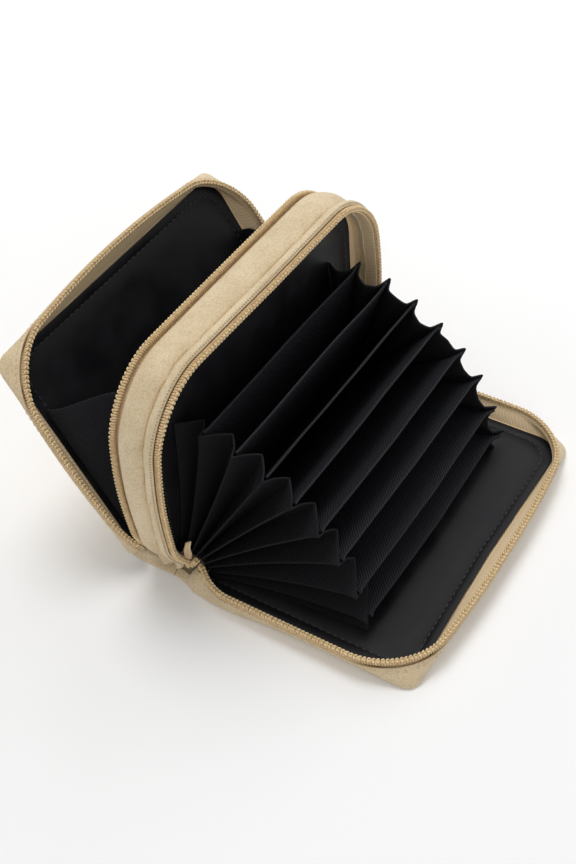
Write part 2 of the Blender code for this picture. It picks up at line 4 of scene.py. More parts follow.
import bmesh
import bpy
from mathutils import Matrix, Vector, noise


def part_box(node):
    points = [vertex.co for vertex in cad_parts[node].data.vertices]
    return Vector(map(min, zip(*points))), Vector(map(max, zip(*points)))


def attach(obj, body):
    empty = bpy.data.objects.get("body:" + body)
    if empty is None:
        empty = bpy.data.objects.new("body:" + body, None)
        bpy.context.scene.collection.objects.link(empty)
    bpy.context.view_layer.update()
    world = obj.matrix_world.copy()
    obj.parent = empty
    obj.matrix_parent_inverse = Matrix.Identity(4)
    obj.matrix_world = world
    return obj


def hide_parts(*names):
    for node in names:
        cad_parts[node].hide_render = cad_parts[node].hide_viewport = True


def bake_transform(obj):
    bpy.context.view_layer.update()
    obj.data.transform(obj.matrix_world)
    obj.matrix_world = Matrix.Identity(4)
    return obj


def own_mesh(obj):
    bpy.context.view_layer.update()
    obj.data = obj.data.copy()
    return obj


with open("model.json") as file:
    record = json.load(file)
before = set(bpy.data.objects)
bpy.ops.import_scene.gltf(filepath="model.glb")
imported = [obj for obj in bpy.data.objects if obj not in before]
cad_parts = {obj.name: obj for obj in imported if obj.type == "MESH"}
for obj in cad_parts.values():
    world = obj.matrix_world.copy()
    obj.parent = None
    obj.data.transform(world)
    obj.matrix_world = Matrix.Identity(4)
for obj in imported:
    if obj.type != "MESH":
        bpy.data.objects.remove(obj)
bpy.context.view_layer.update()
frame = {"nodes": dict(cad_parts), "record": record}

# Table and light
# The wallet stands on a plain pale table under a large soft lamp overhead, one on each side and an even sky.
# The sky looks white to the camera and in reflections, and the table keeps the wallet's shadow.
FLOOR_HALF = 3.0
FLOOR_WHITE = 0.96
FLOOR_ROUGHNESS = 0.9
SKY_LEVEL = 0.50
SKY_WHITE = (1.0, 1.0, 1.0, 1.0)
LAMP_SIZE = 0.60
LAMP_AIM = Vector((0.0, 0.02, 0.03))
LAMPS = (
    ("key_lamp", Vector((0.20, 0.30, 1.15)), 5.7),
    ("near_lamp", Vector((-0.65, -0.50, 0.60)), 1.15),
    ("far_lamp", Vector((0.75, 0.10, 0.60)), 1.6),
)

scene = bpy.context.scene
scene.view_settings.view_transform = "Standard"


def placed(name, data):
    """New object of the scene."""
    made = bpy.data.objects.new(name, data)
    scene.collection.objects.link(made)
    return made


def add_node(tree, kind, inputs=None, **settings):
    """New node of a tree, with each input linked to a socket or set to a value; gives its outputs."""
    made = tree.nodes.new(kind)
    for key, value in settings.items():
        setattr(made, key, value)
    for key, value in (inputs or {}).items():
        if isinstance(value, bpy.types.NodeSocket):
            tree.links.new(value, made.inputs[key])
        elif value is not None:
            made.inputs[key].default_value = value
    return made.outputs


def principled(name, roughness, specular=0.5, colour=(0.5, 0.5, 0.5)):
    """New material with its node tree and the inputs of its shader."""
    made = bpy.data.materials.new(name)
    made.use_nodes = True
    shader = made.node_tree.nodes["Principled BSDF"].inputs
    shader["Roughness"].default_value = roughness
    shader["Specular IOR Level"].default_value = specular
    shader["Base Color"].default_value = (*colour, 1.0)
    return made, made.node_tree, shader


world = bpy.data.worlds.new("studio")
scene.world = world
world.use_nodes = True
sky = world.node_tree
dim_sky = sky.nodes["Background"]
dim_sky.inputs["Strength"].default_value = SKY_LEVEL
dim_sky.inputs["Color"].default_value = SKY_WHITE
white_sky = add_node(sky, "ShaderNodeBackground", {"Color": SKY_WHITE})
rays = add_node(sky, "ShaderNodeLightPath")
seen = rays["Is Camera Ray"]
for ray in ("Is Glossy Ray", "Is Transmission Ray"):
    seen = add_node(sky, "ShaderNodeMath", {0: seen, 1: rays[ray]}, operation="MAXIMUM")[0]
both_skies = add_node(sky, "ShaderNodeMixShader", {"Fac": seen, 1: dim_sky.outputs[0], 2: white_sky[0]})
sky.links.new(both_skies[0], sky.nodes["World Output"].inputs["Surface"])

bm = bmesh.new()
bmesh.ops.create_grid(bm, x_segments=1, y_segments=1, size=FLOOR_HALF)
floor_mesh = bpy.data.meshes.new("table_top")
bm.to_mesh(floor_mesh)
bm.free()
table_white, tree, shader = principled("table_white", FLOOR_ROUGHNESS, colour=[FLOOR_WHITE] * 3)
floor_mesh.materials.append(table_white)
placed("table_top", floor_mesh)

for name, place, watts in LAMPS:
    lamp_data = bpy.data.lights.new(name, "AREA")
    lamp_data.shape = "DISK"
    lamp_data.size = LAMP_SIZE
    lamp_data.energy = watts
    lamp = placed(name, lamp_data)
    lamp.location = place
    lamp.rotation_euler = (LAMP_AIM - place).to_track_quat("-Z", "Y").to_euler()

# Camera
# It looks down on the open wallet from the near end of the spine, on the front cover's side.
# Its place, turn and lens were fitted to the edges of the covers in the photograph.
CAMERA_PLACE = Vector((-0.287376, -0.170236, 0.375741))
CAMERA_AZIMUTH = math.radians(-53.952)
CAMERA_ELEVATION = math.radians(44.816)
CAMERA_ROLL = math.radians(-5.218)
CAMERA_LENS = 61.40

camera_data = bpy.data.cameras.new("camera")
camera_data.lens = CAMERA_LENS
camera = placed("camera", camera_data)
camera.matrix_world = (
    Matrix.Translation(CAMERA_PLACE)
    @ Matrix.Rotation(CAMERA_AZIMUTH, 4, "Z")
    @ Matrix.Rotation(math.pi / 2 - CAMERA_ELEVATION, 4, "X")
    @ Matrix.Rotation(CAMERA_ROLL, 4, "Z")
)
scene.camera = camera

# Leather of the covers
# Each cover is a tray of beige pebbled leatherette over board, with a wall that rises to the zip.
# The base has almost square corners and the zip line rounder ones, so its corners stick out under the rim.
LEATHER = 0.0010
LINING = 0.0005
TAPE = 0.0004
COVER_LENGTH = 0.118
COVER_REACH = 0.078
COVER_CORNER = 0.0032
COVER_ROUND = 0.0016
COVER_DEPTH = 0.0088
COVER_FLOOR = 0.0024
LEATHER_TOP = 0.0062
TAPE_TOP = 0.0063
ZIP_GAP = 0.0008
SPINE_INSET = 0.0010
RIM_FLARE = 0.0009
TUCK_REACH = 0.014
BELLY_PLACE = 0.010
BELLY_REACH = 0.016
WALL_LEAN = 1.3
LINE_STEPS = (28, 16, 24)
LINE_CROWD = 1.35
FOOT_STEPS = 7
WALL_ROWS = 10
LEATHER_EDGE = 0.0003
SHARP_DEG = 50
GRAIN_PITCH = 0.00062
LEATHER_LIGHT = (0.73, 0.600, 0.405)
LEATHER_DEEP = (0.65, 0.520, 0.335)
FRONT_RIM = {
    "half": 0.061, "reach": 0.0765, "corner": 0.020, "bow": 0.006, "side_bow": 0.0,
    "tuck": 0.0065, "belly": 0.0021, "skew": 0.0026,
}
BACK_RIM = {
    "half": 0.061, "reach": 0.0765, "corner": 0.020, "bow": 0.006, "side_bow": 0.0015,
    "tuck": 0.0035, "belly": 0.0, "skew": 0.0,
}

joints = {joint["name"]: joint for joint in frame["record"]["behaviour"]["joints"]}
FRONT_HINGE = Vector(joints["middle_fold"]["pos_m"])
BACK_HINGE = Vector(joints["back_cover_fold"]["pos_m"])
MIDDLE_OPEN = joints["middle_fold"]["range_deg"][1]
BACK_OPEN = MIDDLE_OPEN + joints["back_cover_fold"]["range_deg"][1]


def standing(hinge, open_deg):
    """Matrix from a closed panel's (x, -reach, rise) to its place on the open wallet."""
    return Matrix.Translation(hinge) @ Matrix.Rotation(-math.radians(open_deg), 4, "X")


FRONT_PLACE = standing(FRONT_HINGE, 0.0)
MIDDLE_PLACE = standing(FRONT_HINGE, MIDDLE_OPEN)
BACK_PLACE = standing(BACK_HINGE, BACK_OPEN)


def colour_ramp(tree, factor, *stops):
    """Colours between two stops of (place, colour), chosen by a factor."""
    ramp = tree.nodes.new("ShaderNodeValToRGB")
    for end, (place, colour) in zip(ramp.color_ramp.elements, stops):
        end.position = place
        end.color = (*colour, 1.0)
    tree.links.new(factor, ramp.inputs["Fac"])
    return ramp.outputs["Color"]


def blotches(tree, size, detail):
    """Soft noise over the object, with blotches of a size."""
    spot = add_node(tree, "ShaderNodeTexCoord")["Object"]
    cloud = {"Vector": spot, "Scale": 1.0 / size, "Detail": detail}
    return add_node(tree, "ShaderNodeTexNoise", cloud)["Fac"]


def bumps(tree, shader, height, depth, strength, below=None):
    """Bump of a depth from a height, on top of another bump."""
    levels = {"Strength": strength, "Distance": depth, "Height": height, "Normal": below}
    normal = add_node(tree, "ShaderNodeBump", levels)["Normal"]
    tree.links.new(normal, shader["Normal"])
    return normal


leatherette, tree, shader = principled("beige_leatherette", roughness=0.52, specular=0.30)
spot = add_node(tree, "ShaderNodeTexCoord")["Object"]
grain = {"Vector": spot, "Scale": 1.0 / GRAIN_PITCH, "Smoothness": 0.35}
cells = add_node(tree, "ShaderNodeTexVoronoi", grain, feature="SMOOTH_F1")["Distance"]
plain = colour_ramp(tree, blotches(tree, 0.009, 3.0), (0.32, LEATHER_DEEP), (0.62, LEATHER_LIGHT))
crease = colour_ramp(tree, cells, (0.25, (1.0, 1.0, 1.0)), (0.75, (0.86, 0.83, 0.78)))
layers = {"Factor": 1.0, 6: plain, 7: crease}
shade = add_node(tree, "ShaderNodeMix", data_type="RGBA", blend_type="MULTIPLY", inputs=layers)
tree.links.new(shade[2], shader["Base Color"])
pebble = bumps(tree, shader, cells, -GRAIN_PITCH / 4, 0.60)
bumps(tree, shader, blotches(tree, GRAIN_PITCH / 3, 2.0), GRAIN_PITCH / 12, 0.30, pebble)


def clamped(value):
    """Value kept between 0 and 1."""
    return min(max(value, 0.0), 1.0)


def quarter_round(radius, steps):
    """Points of a quarter round, as their distances from its two straight sides."""
    turns = [math.pi / 2 * i / steps for i in range(steps)]
    return [(radius * (1 - math.cos(turn)), radius * (1 - math.sin(turn))) for turn in turns]


def half_line(half, reach, corner, start, steps, crowd):
    """Near half of a three-sided line as (x, reach) pairs, from the spine to the middle of the free edge."""
    side, bend, free = steps
    points = [(-half, start + (reach - corner - start) * (i / side) ** crowd) for i in range(side)]
    points += [(across - half, reach - along) for across, along in quarter_round(corner, bend)]
    return points + [((corner - half) * (1 - i / free), reach) for i in range(free + 1)]


def three_sided(half, reach, corner, start, rim, steps=LINE_STEPS, crowd=LINE_CROWD):
    """Line round three sides; a rim's bows swell it, and its tuck and skew move the near end."""
    near = half_line(half, reach, corner, start, steps, crowd)
    shaped = []
    for x, r in near + [(-x, r) for x, r in reversed(near[:-1])]:
        along = clamped(r / reach)
        across = x / half
        inset = rim["tuck"] * (1 - clamped(r / TUCK_REACH)) ** 2 if x < 0.0 else 0.0
        swell = rim["side_bow"] * (4 * along * (1 - along)) ** 2 * across ** 4
        further = rim["bow"] * (1 - across ** 2) + rim["skew"] * max(-across, 0.0)
        shaped.append((x + across * (swell - inset), r + further * along))
    return shaped


def swells_of(rim, *kept):
    """Swells of a rim, flat apart from those that are kept."""
    return {key: value if key in kept else 0.0 for key, value in rim.items()}


def rim_line(rim, out, start=-SPINE_INSET):
    """Zip line of a panel, moved outwards by out."""
    return three_sided(rim["half"] + out, rim["reach"] + out, rim["corner"] + out, start, rim)


def wall_line(rim, height, out):
    """Line of a cover's wall at a height over its outer face, on its way from the base to the rim."""
    inset = RIM_FLARE - out
    size = COVER_LENGTH / 2 - inset, COVER_REACH - inset, max(COVER_CORNER - inset, LINING)
    base = three_sided(*size, -SPINE_INSET, swells_of(rim, "skew"))
    share = (height / TAPE_TOP) ** WALL_LEAN
    line = []
    for (bx, br), (rx, rr) in zip(base, rim_line(rim, out)):
        if bx < 0.0:
            bx -= rim["belly"] * math.exp(-(((br - BELLY_PLACE) / BELLY_REACH) ** 2))
        line.append((bx + (rx - bx) * share, br + (rr - br) * share))
    return line


def lengths_along(line):
    """Distance travelled along a line at each of its points."""
    total = [0.0]
    for a, b in zip(line, line[1:]):
        total.append(total[-1] + math.dist(a, b))
    return total


def soft_edge(piece, width, segments=2, angle_deg=55):
    """Rounds the edges of a piece that are sharper than an angle."""
    soft = piece.modifiers.new("edge", "BEVEL")
    soft.width = width
    soft.segments = segments
    soft.limit_method = "ANGLE"
    soft.angle_limit = math.radians(angle_deg)


def sheet(name, rows, marks, thickness, edge=0.0, offset=-1.0, floor_first=False, flip=False):
    """Sheet through rows of points, with its UV map in metres from marks, its thickness and its soft edge."""
    mesh = bpy.data.meshes.new(name)
    build = bmesh.new()
    verts = [[build.verts.new(point) for point in row] for row in rows]
    chart = build.loops.layers.uv.new("metres")
    where = {v: mark for row, tags in zip(verts, marks) for v, mark in zip(row, tags)}
    for low, high in zip(verts, verts[1:]):
        for i in range(len(low) - 1):
            build.faces.new((low[i], low[i + 1], high[i + 1], high[i]))
    if floor_first:
        build.faces.new(reversed(verts[0]))
    for face in build.faces:
        for loop in face.loops:
            loop[chart].uv = where[loop.vert]
    build.to_mesh(mesh)
    build.free()
    if flip:
        mesh.flip_normals()
    piece = placed(name, mesh)
    solid = piece.modifiers.new("wall", "SOLIDIFY")
    solid.thickness = thickness
    solid.offset = offset
    if edge:
        soft_edge(piece, edge)
    return piece


def done(piece, place, finish, body=None, node=None):
    """Applies modifiers, puts the mesh in its place, gives it its finish and body, and hides the node it
    replaces.
    """
    bpy.context.view_layer.update()
    evaluated = piece.evaluated_get(bpy.context.evaluated_depsgraph_get())
    mesh = bpy.data.meshes.new_from_object(evaluated)
    name = piece.name
    bpy.data.objects.remove(piece)
    mesh.name = name
    mesh.transform(place)
    mesh.materials.clear()
    mesh.materials.append(finish)
    mesh.shade_smooth()
    mesh.set_sharp_from_angle(angle=math.radians(SHARP_DEG))
    final = placed(name, mesh)
    if body is not None:
        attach(final, body)
    if node is not None:
        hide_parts(node)
    return final


def at_rise(line, rise):
    """Points of an (x, reach) line at a rise over its panel."""
    return [Vector((x, -r, rise)) for x, r in line]


def rings_of(stack):
    """Rows of points and their UV marks from (line, rise) pairs."""
    travels = lengths_along([(line[len(line) // 2][1], rise) for line, rise in stack])
    rows = [at_rise(line, rise) for line, rise in stack]
    marks = [[(s, travel) for s in lengths_along(line)] for (line, rise), travel in zip(stack, travels)]
    return rows, marks


def front_rise(height):
    """Rise over the front hinge of a height over the front cover's outer face."""
    return height - COVER_DEPTH - ZIP_GAP / 2


def back_rise(height):
    """Rise over the back hinge of a height over the back cover's outer face."""
    return COVER_DEPTH + ZIP_GAP / 2 - height


COVERS = (("front", FRONT_RIM, front_rise, FRONT_PLACE), ("back", BACK_RIM, back_rise, BACK_PLACE))
levels = quarter_round(COVER_ROUND, FOOT_STEPS)
for i in range(WALL_ROWS + 1):
    levels.append((COVER_ROUND + (LEATHER_TOP - COVER_ROUND) * i / WALL_ROWS, 0.0))
for side, rim, rise_of, place in COVERS:
    stack = [(wall_line(rim, height, RIM_FLARE - inset), rise_of(height)) for height, inset in levels]
    rows, marks = rings_of(stack)
    tray = sheet(f"{side}_leather", rows, marks, LEATHER, LEATHER_EDGE, floor_first=True, flip=side == "back")
    done(tray, place, leatherette, f"{side}_cover", f"{side}_skin")

# Zip tapes
# A ribbed woven tape runs inside each leather wall, from the lining up into the zip's coil.
# It is dyed like the leather but a little warmer, and its ribs run up and down the wall.
TAPE_LIGHT = (0.84, 0.650, 0.410)
TAPE_DEEP = (0.77, 0.575, 0.345)
RIB_PITCH = 0.00130
FLANGE = 0.0070
FLANGE_CORNER = 0.0100
TAPE_LEAN = 0.0014
COIL_HALF_RISE = 0.0011
TAPE_ROWS = 8
CLOTH_EDGE = 0.0001


def stripes(tree, pitch, turn_deg, spread):
    """Waves over a UV map in metres, with a pitch and a turn."""
    chart = add_node(tree, "ShaderNodeUVMap", uv_map="metres")["UV"]
    turn = (0.0, 0.0, math.radians(turn_deg))
    turned = add_node(tree, "ShaderNodeMapping", {"Vector": chart, "Rotation": turn})["Vector"]
    wave = {"Vector": turned, "Scale": math.pi / 10 / pitch, "Distortion": spread, "Detail": 1.0}
    return add_node(tree, "ShaderNodeTexWave", wave)["Fac"]


tape_cloth, tree, shader = principled("ribbed_tape", roughness=0.78, specular=0.20)
ribs = stripes(tree, RIB_PITCH, 0.0, 0.25)
tree.links.new(colour_ramp(tree, ribs, (0.15, TAPE_DEEP), (0.65, TAPE_LIGHT)), shader["Base Color"])
weave = bumps(tree, shader, ribs, RIB_PITCH / 8, 0.5)
bumps(tree, shader, stripes(tree, RIB_PITCH / 3, 90.0, 0.2), RIB_PITCH / 16, 0.4, weave)

for side, rim, rise_of, place in COVERS:
    size = COVER_LENGTH / 2 - FLANGE, COVER_REACH - FLANGE, FLANGE_CORNER
    flange = three_sided(*size, -SPINE_INSET, swells_of(rim, "skew"))
    stack = [(flange, rise_of(COVER_FLOOR - TAPE))]
    for i in range(TAPE_ROWS + 1):
        share = i / TAPE_ROWS
        height = COVER_FLOOR + (COVER_DEPTH - COIL_HALF_RISE - COVER_FLOOR) * share
        out = RIM_FLARE - LEATHER - TAPE_LEAN + TAPE_LEAN * share ** 3
        stack.append((wall_line(rim, min(height, TAPE_TOP), out), rise_of(height)))
    tape = sheet(f"{side}_zip_tape", *rings_of(stack), TAPE, CLOTH_EDGE, flip=side == "back")
    done(tape, place, tape_cloth, f"{side}_cover", f"{side}_tape")

# Zip coils
# Each half zip is a nylon coil sewn to the tape's edge: one oval loop after another, slanted a little,
# round a darker cord. A chain stitch of lighter thread holds it down and looks like a braid on its open face.
COIL_PITCH = 0.00086
COIL_WIRE = 0.00035
COIL_HALF_OUT = 0.00104
COIL_SLANT_DEG = 12.0
CORD_RADIUS = 0.00062
COIL_LIGHT = (0.70, 0.515, 0.285)
COIL_DEEP = (0.57, 0.400, 0.205)
CORD_LIGHT = (0.56, 0.410, 0.220)
CORD_DEEP = (0.46, 0.325, 0.165)
CHAIN_PITCH = 0.00145
CHAIN_THREAD = 0.00038
CHAIN_LENGTH = 0.00135
CHAIN_SPREAD = 0.00046
CHAIN_TURN_DEG = 27.0
CHAIN_LIGHT = (0.79, 0.610, 0.355)
CHAIN_DEEP = (0.67, 0.495, 0.270)


def shiny_nylon(name, light, deep):
    """Slightly shiny coloured nylon."""
    made, tree, shader = principled(name, roughness=0.42, specular=0.35)
    patch = blotches(tree, 0.0012, 2.0)
    tree.links.new(colour_ramp(tree, patch, (0.35, deep), (0.60, light)), shader["Base Color"])
    bumps(tree, shader, blotches(tree, 0.0003, 1.0), 0.00004, 0.3)
    return made


coil_nylon = shiny_nylon("gold_nylon", COIL_LIGHT, COIL_DEEP)
cord_nylon = shiny_nylon("cord_nylon", CORD_LIGHT, CORD_DEEP)
chain_thread = shiny_nylon("chain_thread", CHAIN_LIGHT, CHAIN_DEEP)


def row_tree(name, sizes, form):
    """Geometry tree that sets one form after another along a curve; sizes are its named inputs."""
    tree = bpy.data.node_groups.new(name, "GeometryNodeTree")
    kinds = {"Path": "Geometry", **dict.fromkeys(sizes, "Float"), "Finish": "Material"}
    for label, kind in kinds.items():
        tree.interface.new_socket(label, in_out="INPUT", socket_type="NodeSocket" + kind)
    tree.interface.new_socket("Row", in_out="OUTPUT", socket_type="NodeSocketGeometry")
    given = add_node(tree, "NodeGroupInput")
    level = add_node(tree, "GeometryNodeSetCurveNormal", {"Curve": given["Path"]}, mode="Z_UP")["Curve"]
    spots = {"Curve": level, "Length": given["Pitch"]}
    spots = add_node(tree, "GeometryNodeCurveToPoints", spots, mode="LENGTH")
    copies = {"Points": spots["Points"], "Rotation": spots["Rotation"], "Instance": form(tree, given)}
    copies = add_node(tree, "GeometryNodeInstanceOnPoints", copies)["Instances"]
    real = add_node(tree, "GeometryNodeRealizeInstances", {"Geometry": copies})["Geometry"]
    coat = add_node(tree, "GeometryNodeSetMaterial", {"Geometry": real, "Material": given["Finish"]})
    add_node(tree, "NodeGroupOutput", {"Row": coat["Geometry"]})
    return tree


def vector(tree, x, y, z):
    """Vector from three sockets or values."""
    return add_node(tree, "ShaderNodeCombineXYZ", {"X": x, "Y": y, "Z": z})[0]


def coil_loop(tree, given):
    """Wire bent to a slanted oval."""
    oval = add_node(tree, "GeometryNodeCurvePrimitiveCircle", {"Resolution": 10, "Radius": 1.0})["Curve"]
    shape = {
        "Geometry": oval,
        "Rotation": vector(tree, given["Slant"], 0.0, 0.0),
        "Scale": vector(tree, given["Half Out"], given["Half Rise"], 1.0),
    }
    shaped = add_node(tree, "GeometryNodeTransform", shape)["Geometry"]
    wire = {"Resolution": 5, "Radius": given["Wire"]}
    wire = add_node(tree, "GeometryNodeCurvePrimitiveCircle", wire)["Curve"]
    return add_node(tree, "GeometryNodeCurveToMesh", {"Curve": shaped, "Profile Curve": wire})["Mesh"]


def bead(tree, given, segments, rings, **placing):
    """Bead of thread, drawn out along the row."""
    ball = {"Segments": segments, "Rings": rings, "Radius": 1.0}
    ball = add_node(tree, "GeometryNodeMeshUVSphere", ball)["Mesh"]
    scale = vector(tree, given["Thread"], given["Thread"], given["Length"])
    return add_node(tree, "GeometryNodeTransform", {"Geometry": ball, "Scale": scale, **placing})["Geometry"]


def chain_strands(tree, given):
    """Two slanted strands of thread, side by side."""
    both = tree.nodes.new("GeometryNodeJoinGeometry")
    for sign in (1.0, -1.0):
        out = add_node(tree, "ShaderNodeMath", {0: given["Spread"], 1: sign}, operation="MULTIPLY")[0]
        turn = add_node(tree, "ShaderNodeMath", {0: given["Turn"], 1: sign}, operation="MULTIPLY")[0]
        place = vector(tree, out, given["Face"], 0.0)
        strand = bead(tree, given, 6, 4, Translation=place, Rotation=vector(tree, 0.0, turn, 0.0))
        tree.links.new(strand, both.inputs["Geometry"])
    return both.outputs["Geometry"]


loop_tree = row_tree("coil_row", ("Pitch", "Half Out", "Half Rise", "Wire", "Slant"), coil_loop)
chain_sizes = "Pitch", "Thread", "Length", "Spread", "Face", "Turn"
chain_tree = row_tree("chain_row", chain_sizes, chain_strands)


def path_curve(name, points, radius=0.0):
    """Curve through points, thick where a radius is given."""
    curve = bpy.data.curves.new(name, "CURVE")
    curve.dimensions = "3D"
    curve.bevel_depth = radius
    curve.bevel_resolution = 2
    curve.use_fill_caps = radius > 0.0
    spline = curve.splines.new("POLY")
    spline.points.add(len(points) - 1)
    for knot, point in zip(spline.points, points):
        knot.co = (*point, 1.0)
    return placed(name, curve)


def row_along(name, points, tree, sizes, place, finish, body, node=None):
    """Runs a geometry tree along points and keeps its mesh."""
    piece = path_curve(name, points)
    maker = piece.modifiers.new("row", "NODES")
    maker.node_group = tree
    values = dict(sizes, Finish=finish)
    for item in tree.interface.items_tree:
        if item.item_type == "SOCKET" and item.in_out == "INPUT" and item.name in values:
            maker[item.identifier] = values[item.name]
    done(piece, place, finish, body, node)


def zip_coil(name, node, points, face, place, body):
    """One half zip: its loops, the cord inside them, and the chain stitch on its open face."""
    sizes = {
        "Pitch": COIL_PITCH,
        "Half Out": COIL_HALF_OUT - COIL_WIRE,
        "Half Rise": COIL_HALF_RISE - COIL_WIRE,
        "Wire": COIL_WIRE,
        "Slant": math.radians(COIL_SLANT_DEG),
    }
    row_along(name, points, loop_tree, sizes, place, coil_nylon, body, node)
    done(path_curve(name + "_cord", points, CORD_RADIUS), place, cord_nylon, body)
    sizes = {
        "Pitch": CHAIN_PITCH,
        "Thread": CHAIN_THREAD,
        "Length": CHAIN_LENGTH / 2,
        "Spread": CHAIN_SPREAD,
        "Face": -face * (COIL_HALF_RISE - CHAIN_THREAD / 2),
        "Turn": face * math.radians(CHAIN_TURN_DEG),
    }
    row_along(name + "_chain", points, chain_tree, sizes, place, chain_thread, body)


COIL_RISE = ZIP_GAP / 2 + COIL_HALF_RISE
BACK_COIL_START = 0.0022
front_path = at_rise(rim_line(FRONT_RIM, 0.0), -COIL_RISE)
zip_coil("front_zip_coil", "front_coil", front_path, 1.0, FRONT_PLACE, "front_cover")
back_path = at_rise(rim_line(BACK_RIM, 0.0, BACK_COIL_START), COIL_RISE)
zip_coil("back_zip_coil", "back_coil", back_path, -1.0, BACK_PLACE, "back_cover")

# Middle panel's bands
# Two soft leather bands run round the middle panel, from the zips to the seam over its board.
# Each is puffed by the foam behind it, and the seam between them is a sharp crease with small puckers.
MIDDLE_RIM = {
    "half": 0.061, "reach": 0.0765, "corner": 0.022, "bow": 0.0005, "side_bow": 0.0032,
    "tuck": 0.0055, "skew": 0.0,
}
BACK_RISE = BACK_HINGE.y - FRONT_HINGE.y
SEAM_RISE = BACK_RISE / 2
FRONT_BAND_START = 0.0024
BACK_BAND_START = 0.0042
SEAM_OFFSET = 0.0042
BAND_PUFF = 0.0016
BAND_FULLNESS = 0.75
BAND_THIN = 0.06
BAND_ROWS = 16
MIDDLE_TAPE_ROWS = 5
SEAM_DIP = 0.0011
SEAM_FOLD = 0.0018
SEAM_WANDER = 0.0007
SEAM_LEAN_SHARE = 1.1
SEAM_SHUT = 0.65
FRONT_BAND_LOW = 0.0034
BACK_BAND_LOW = 0.0050
PUCKER = 0.00024
PUCKER_SIZE = 0.0052
NEAR_LEAN = 0.0040
NEAR_LEAN_REACH = 0.070
CURL = (
    ((-0.0549, 0.0018), 0.0020),
    ((-0.0550, 0.0004), 0.0029),
    ((-0.0552, -0.0010), 0.0042),
    ((-0.0555, -0.0015), 0.0054),
)
OUTER_SEAM = SEAM_RISE - SEAM_OFFSET


def leaned(points, share=1.0):
    """Moves points of the middle panel back near the spine's near end, where its front side is drawn in."""
    for point in points:
        near = clamped(-point.x / MIDDLE_RIM["half"])
        point.z += share * near * NEAR_LEAN * math.exp(-max(-point.y, 0.0) / NEAR_LEAN_REACH)
    return points


def puff_at(share):
    """How far a band stands out over the leather line, from its edge (0) to the seam (1)."""
    return BAND_PUFF * math.sin(math.pi * share) ** BAND_FULLNESS - SEAM_DIP * share


def band(name, node, edge, coil_lean, band_low):
    """Puffed band from an edge beside one zip to the seam."""
    stack = []
    for i in range(BAND_ROWS + 1):
        share = i / BAND_ROWS
        line = rim_line(MIDDLE_RIM, RIM_FLARE + puff_at(share), -band_low)
        stack.append((line, edge + (OUTER_SEAM - edge) * share))
    stack.append((rim_line(MIDDLE_RIM, RIM_FLARE - SEAM_DIP - SEAM_FOLD, -band_low), OUTER_SEAM))
    rows, marks = rings_of(stack)
    middle = (edge + OUTER_SEAM) / 2
    for i, row in enumerate(rows):
        share = min(i / BAND_ROWS, 1.0)
        soft = math.sin(math.pi * share)
        for point in row:
            centre = Vector((0.0, -MIDDLE_RIM["reach"] / 2, point.z))
            wave = noise.noise(point / PUCKER_SIZE) * PUCKER * (0.5 + soft)
            point += (point - centre).normalized() * wave
            low = clamped((point.y - SPINE_INSET) / (band_low - SPINE_INSET))
            low = max(low - SEAM_SHUT * share, 0.0) / (1 - SEAM_SHUT * share)
            point.z = middle + (point.z - middle) * math.sqrt(max(1 - low ** 2, BAND_THIN))
            point.z += share ** 3 * SEAM_WANDER * noise.noise(Vector((point.x, point.y, 0.0)) / PUCKER_SIZE)
        leaned(row, coil_lean + (SEAM_LEAN_SHARE - coil_lean) * share)
    piece = sheet(name, rows, marks, LEATHER, LEATHER_EDGE, flip=edge > OUTER_SEAM)
    done(piece, MIDDLE_PLACE, leatherette, "middle_panel", node)


band("front_band", "middle_front_band", FRONT_BAND_START, 1.0, FRONT_BAND_LOW)
band("back_band", "middle_back_band", BACK_RISE - BACK_BAND_START, 0.0, BACK_BAND_LOW)


def middle_tape(name, node, towards_back):
    """Tape from under a lining out to the band and up into the coil."""
    deep = SEAM_RISE - LINING * 1.5
    flange = MIDDLE_RIM["half"] - FLANGE, MIDDLE_RIM["reach"] - FLANGE, FLANGE_CORNER
    stack = [(three_sided(*flange, -SPINE_INSET, swells_of(MIDDLE_RIM)), deep + TAPE)]
    for i in range(MIDDLE_TAPE_ROWS + 1):
        share = i / MIDDLE_TAPE_ROWS
        out = RIM_FLARE - SEAM_DIP - LEATHER - TAPE + TAPE * 1.5 * share ** 2
        stack.append((rim_line(MIDDLE_RIM, out), deep + (COIL_RISE - deep) * share))
    if towards_back:
        stack = [(line, BACK_RISE - depth) for line, depth in stack]
    rows, marks = rings_of(stack)
    for i, row in enumerate(rows):
        leaned(row, 0.0 if towards_back else i / (MIDDLE_TAPE_ROWS + 1))
    piece = sheet(name, rows, marks, TAPE, CLOTH_EDGE, flip=not towards_back)
    done(piece, MIDDLE_PLACE, tape_cloth, "middle_panel", node)


middle_tape("middle_front_zip_tape", "middle_front_tape", False)
middle_tape("middle_back_zip_tape", "middle_back_tape", True)
middle_line = rim_line(MIDDLE_RIM, 0.0)
curled = [Vector((x, -r, rise)) for (x, r), rise in CURL]
curled += leaned(at_rise(middle_line, COIL_RISE))
zip_coil("middle_front_zip_coil", "middle_front_coil", curled, -1.0, MIDDLE_PLACE, "middle_panel")
straight = at_rise(middle_line, BACK_RISE - COIL_RISE)
zip_coil("middle_back_zip_coil", "middle_back_coil", straight, 1.0, MIDDLE_PLACE, "middle_panel")

# Folded end of the zip tape
# The front zip's tape ends beside the hinge, where a short tab of it sticks up inside the middle panel.
# It is the cut end of the tape itself, folded double.
TAB_PLACE = Vector((-0.0546, -0.0010, 0.0052))
TAB_WIDTH = 0.0023
TAB_HEIGHT = 0.0068
TAB_TURN = 0.8
TAB_NARROWING = 0.35
TAB_LEAN = 0.8
TAB_WAVE = 7
TAB_ROWS = 8
TAB_COLUMNS = (-1.0, -0.3, 0.4, 1.0)

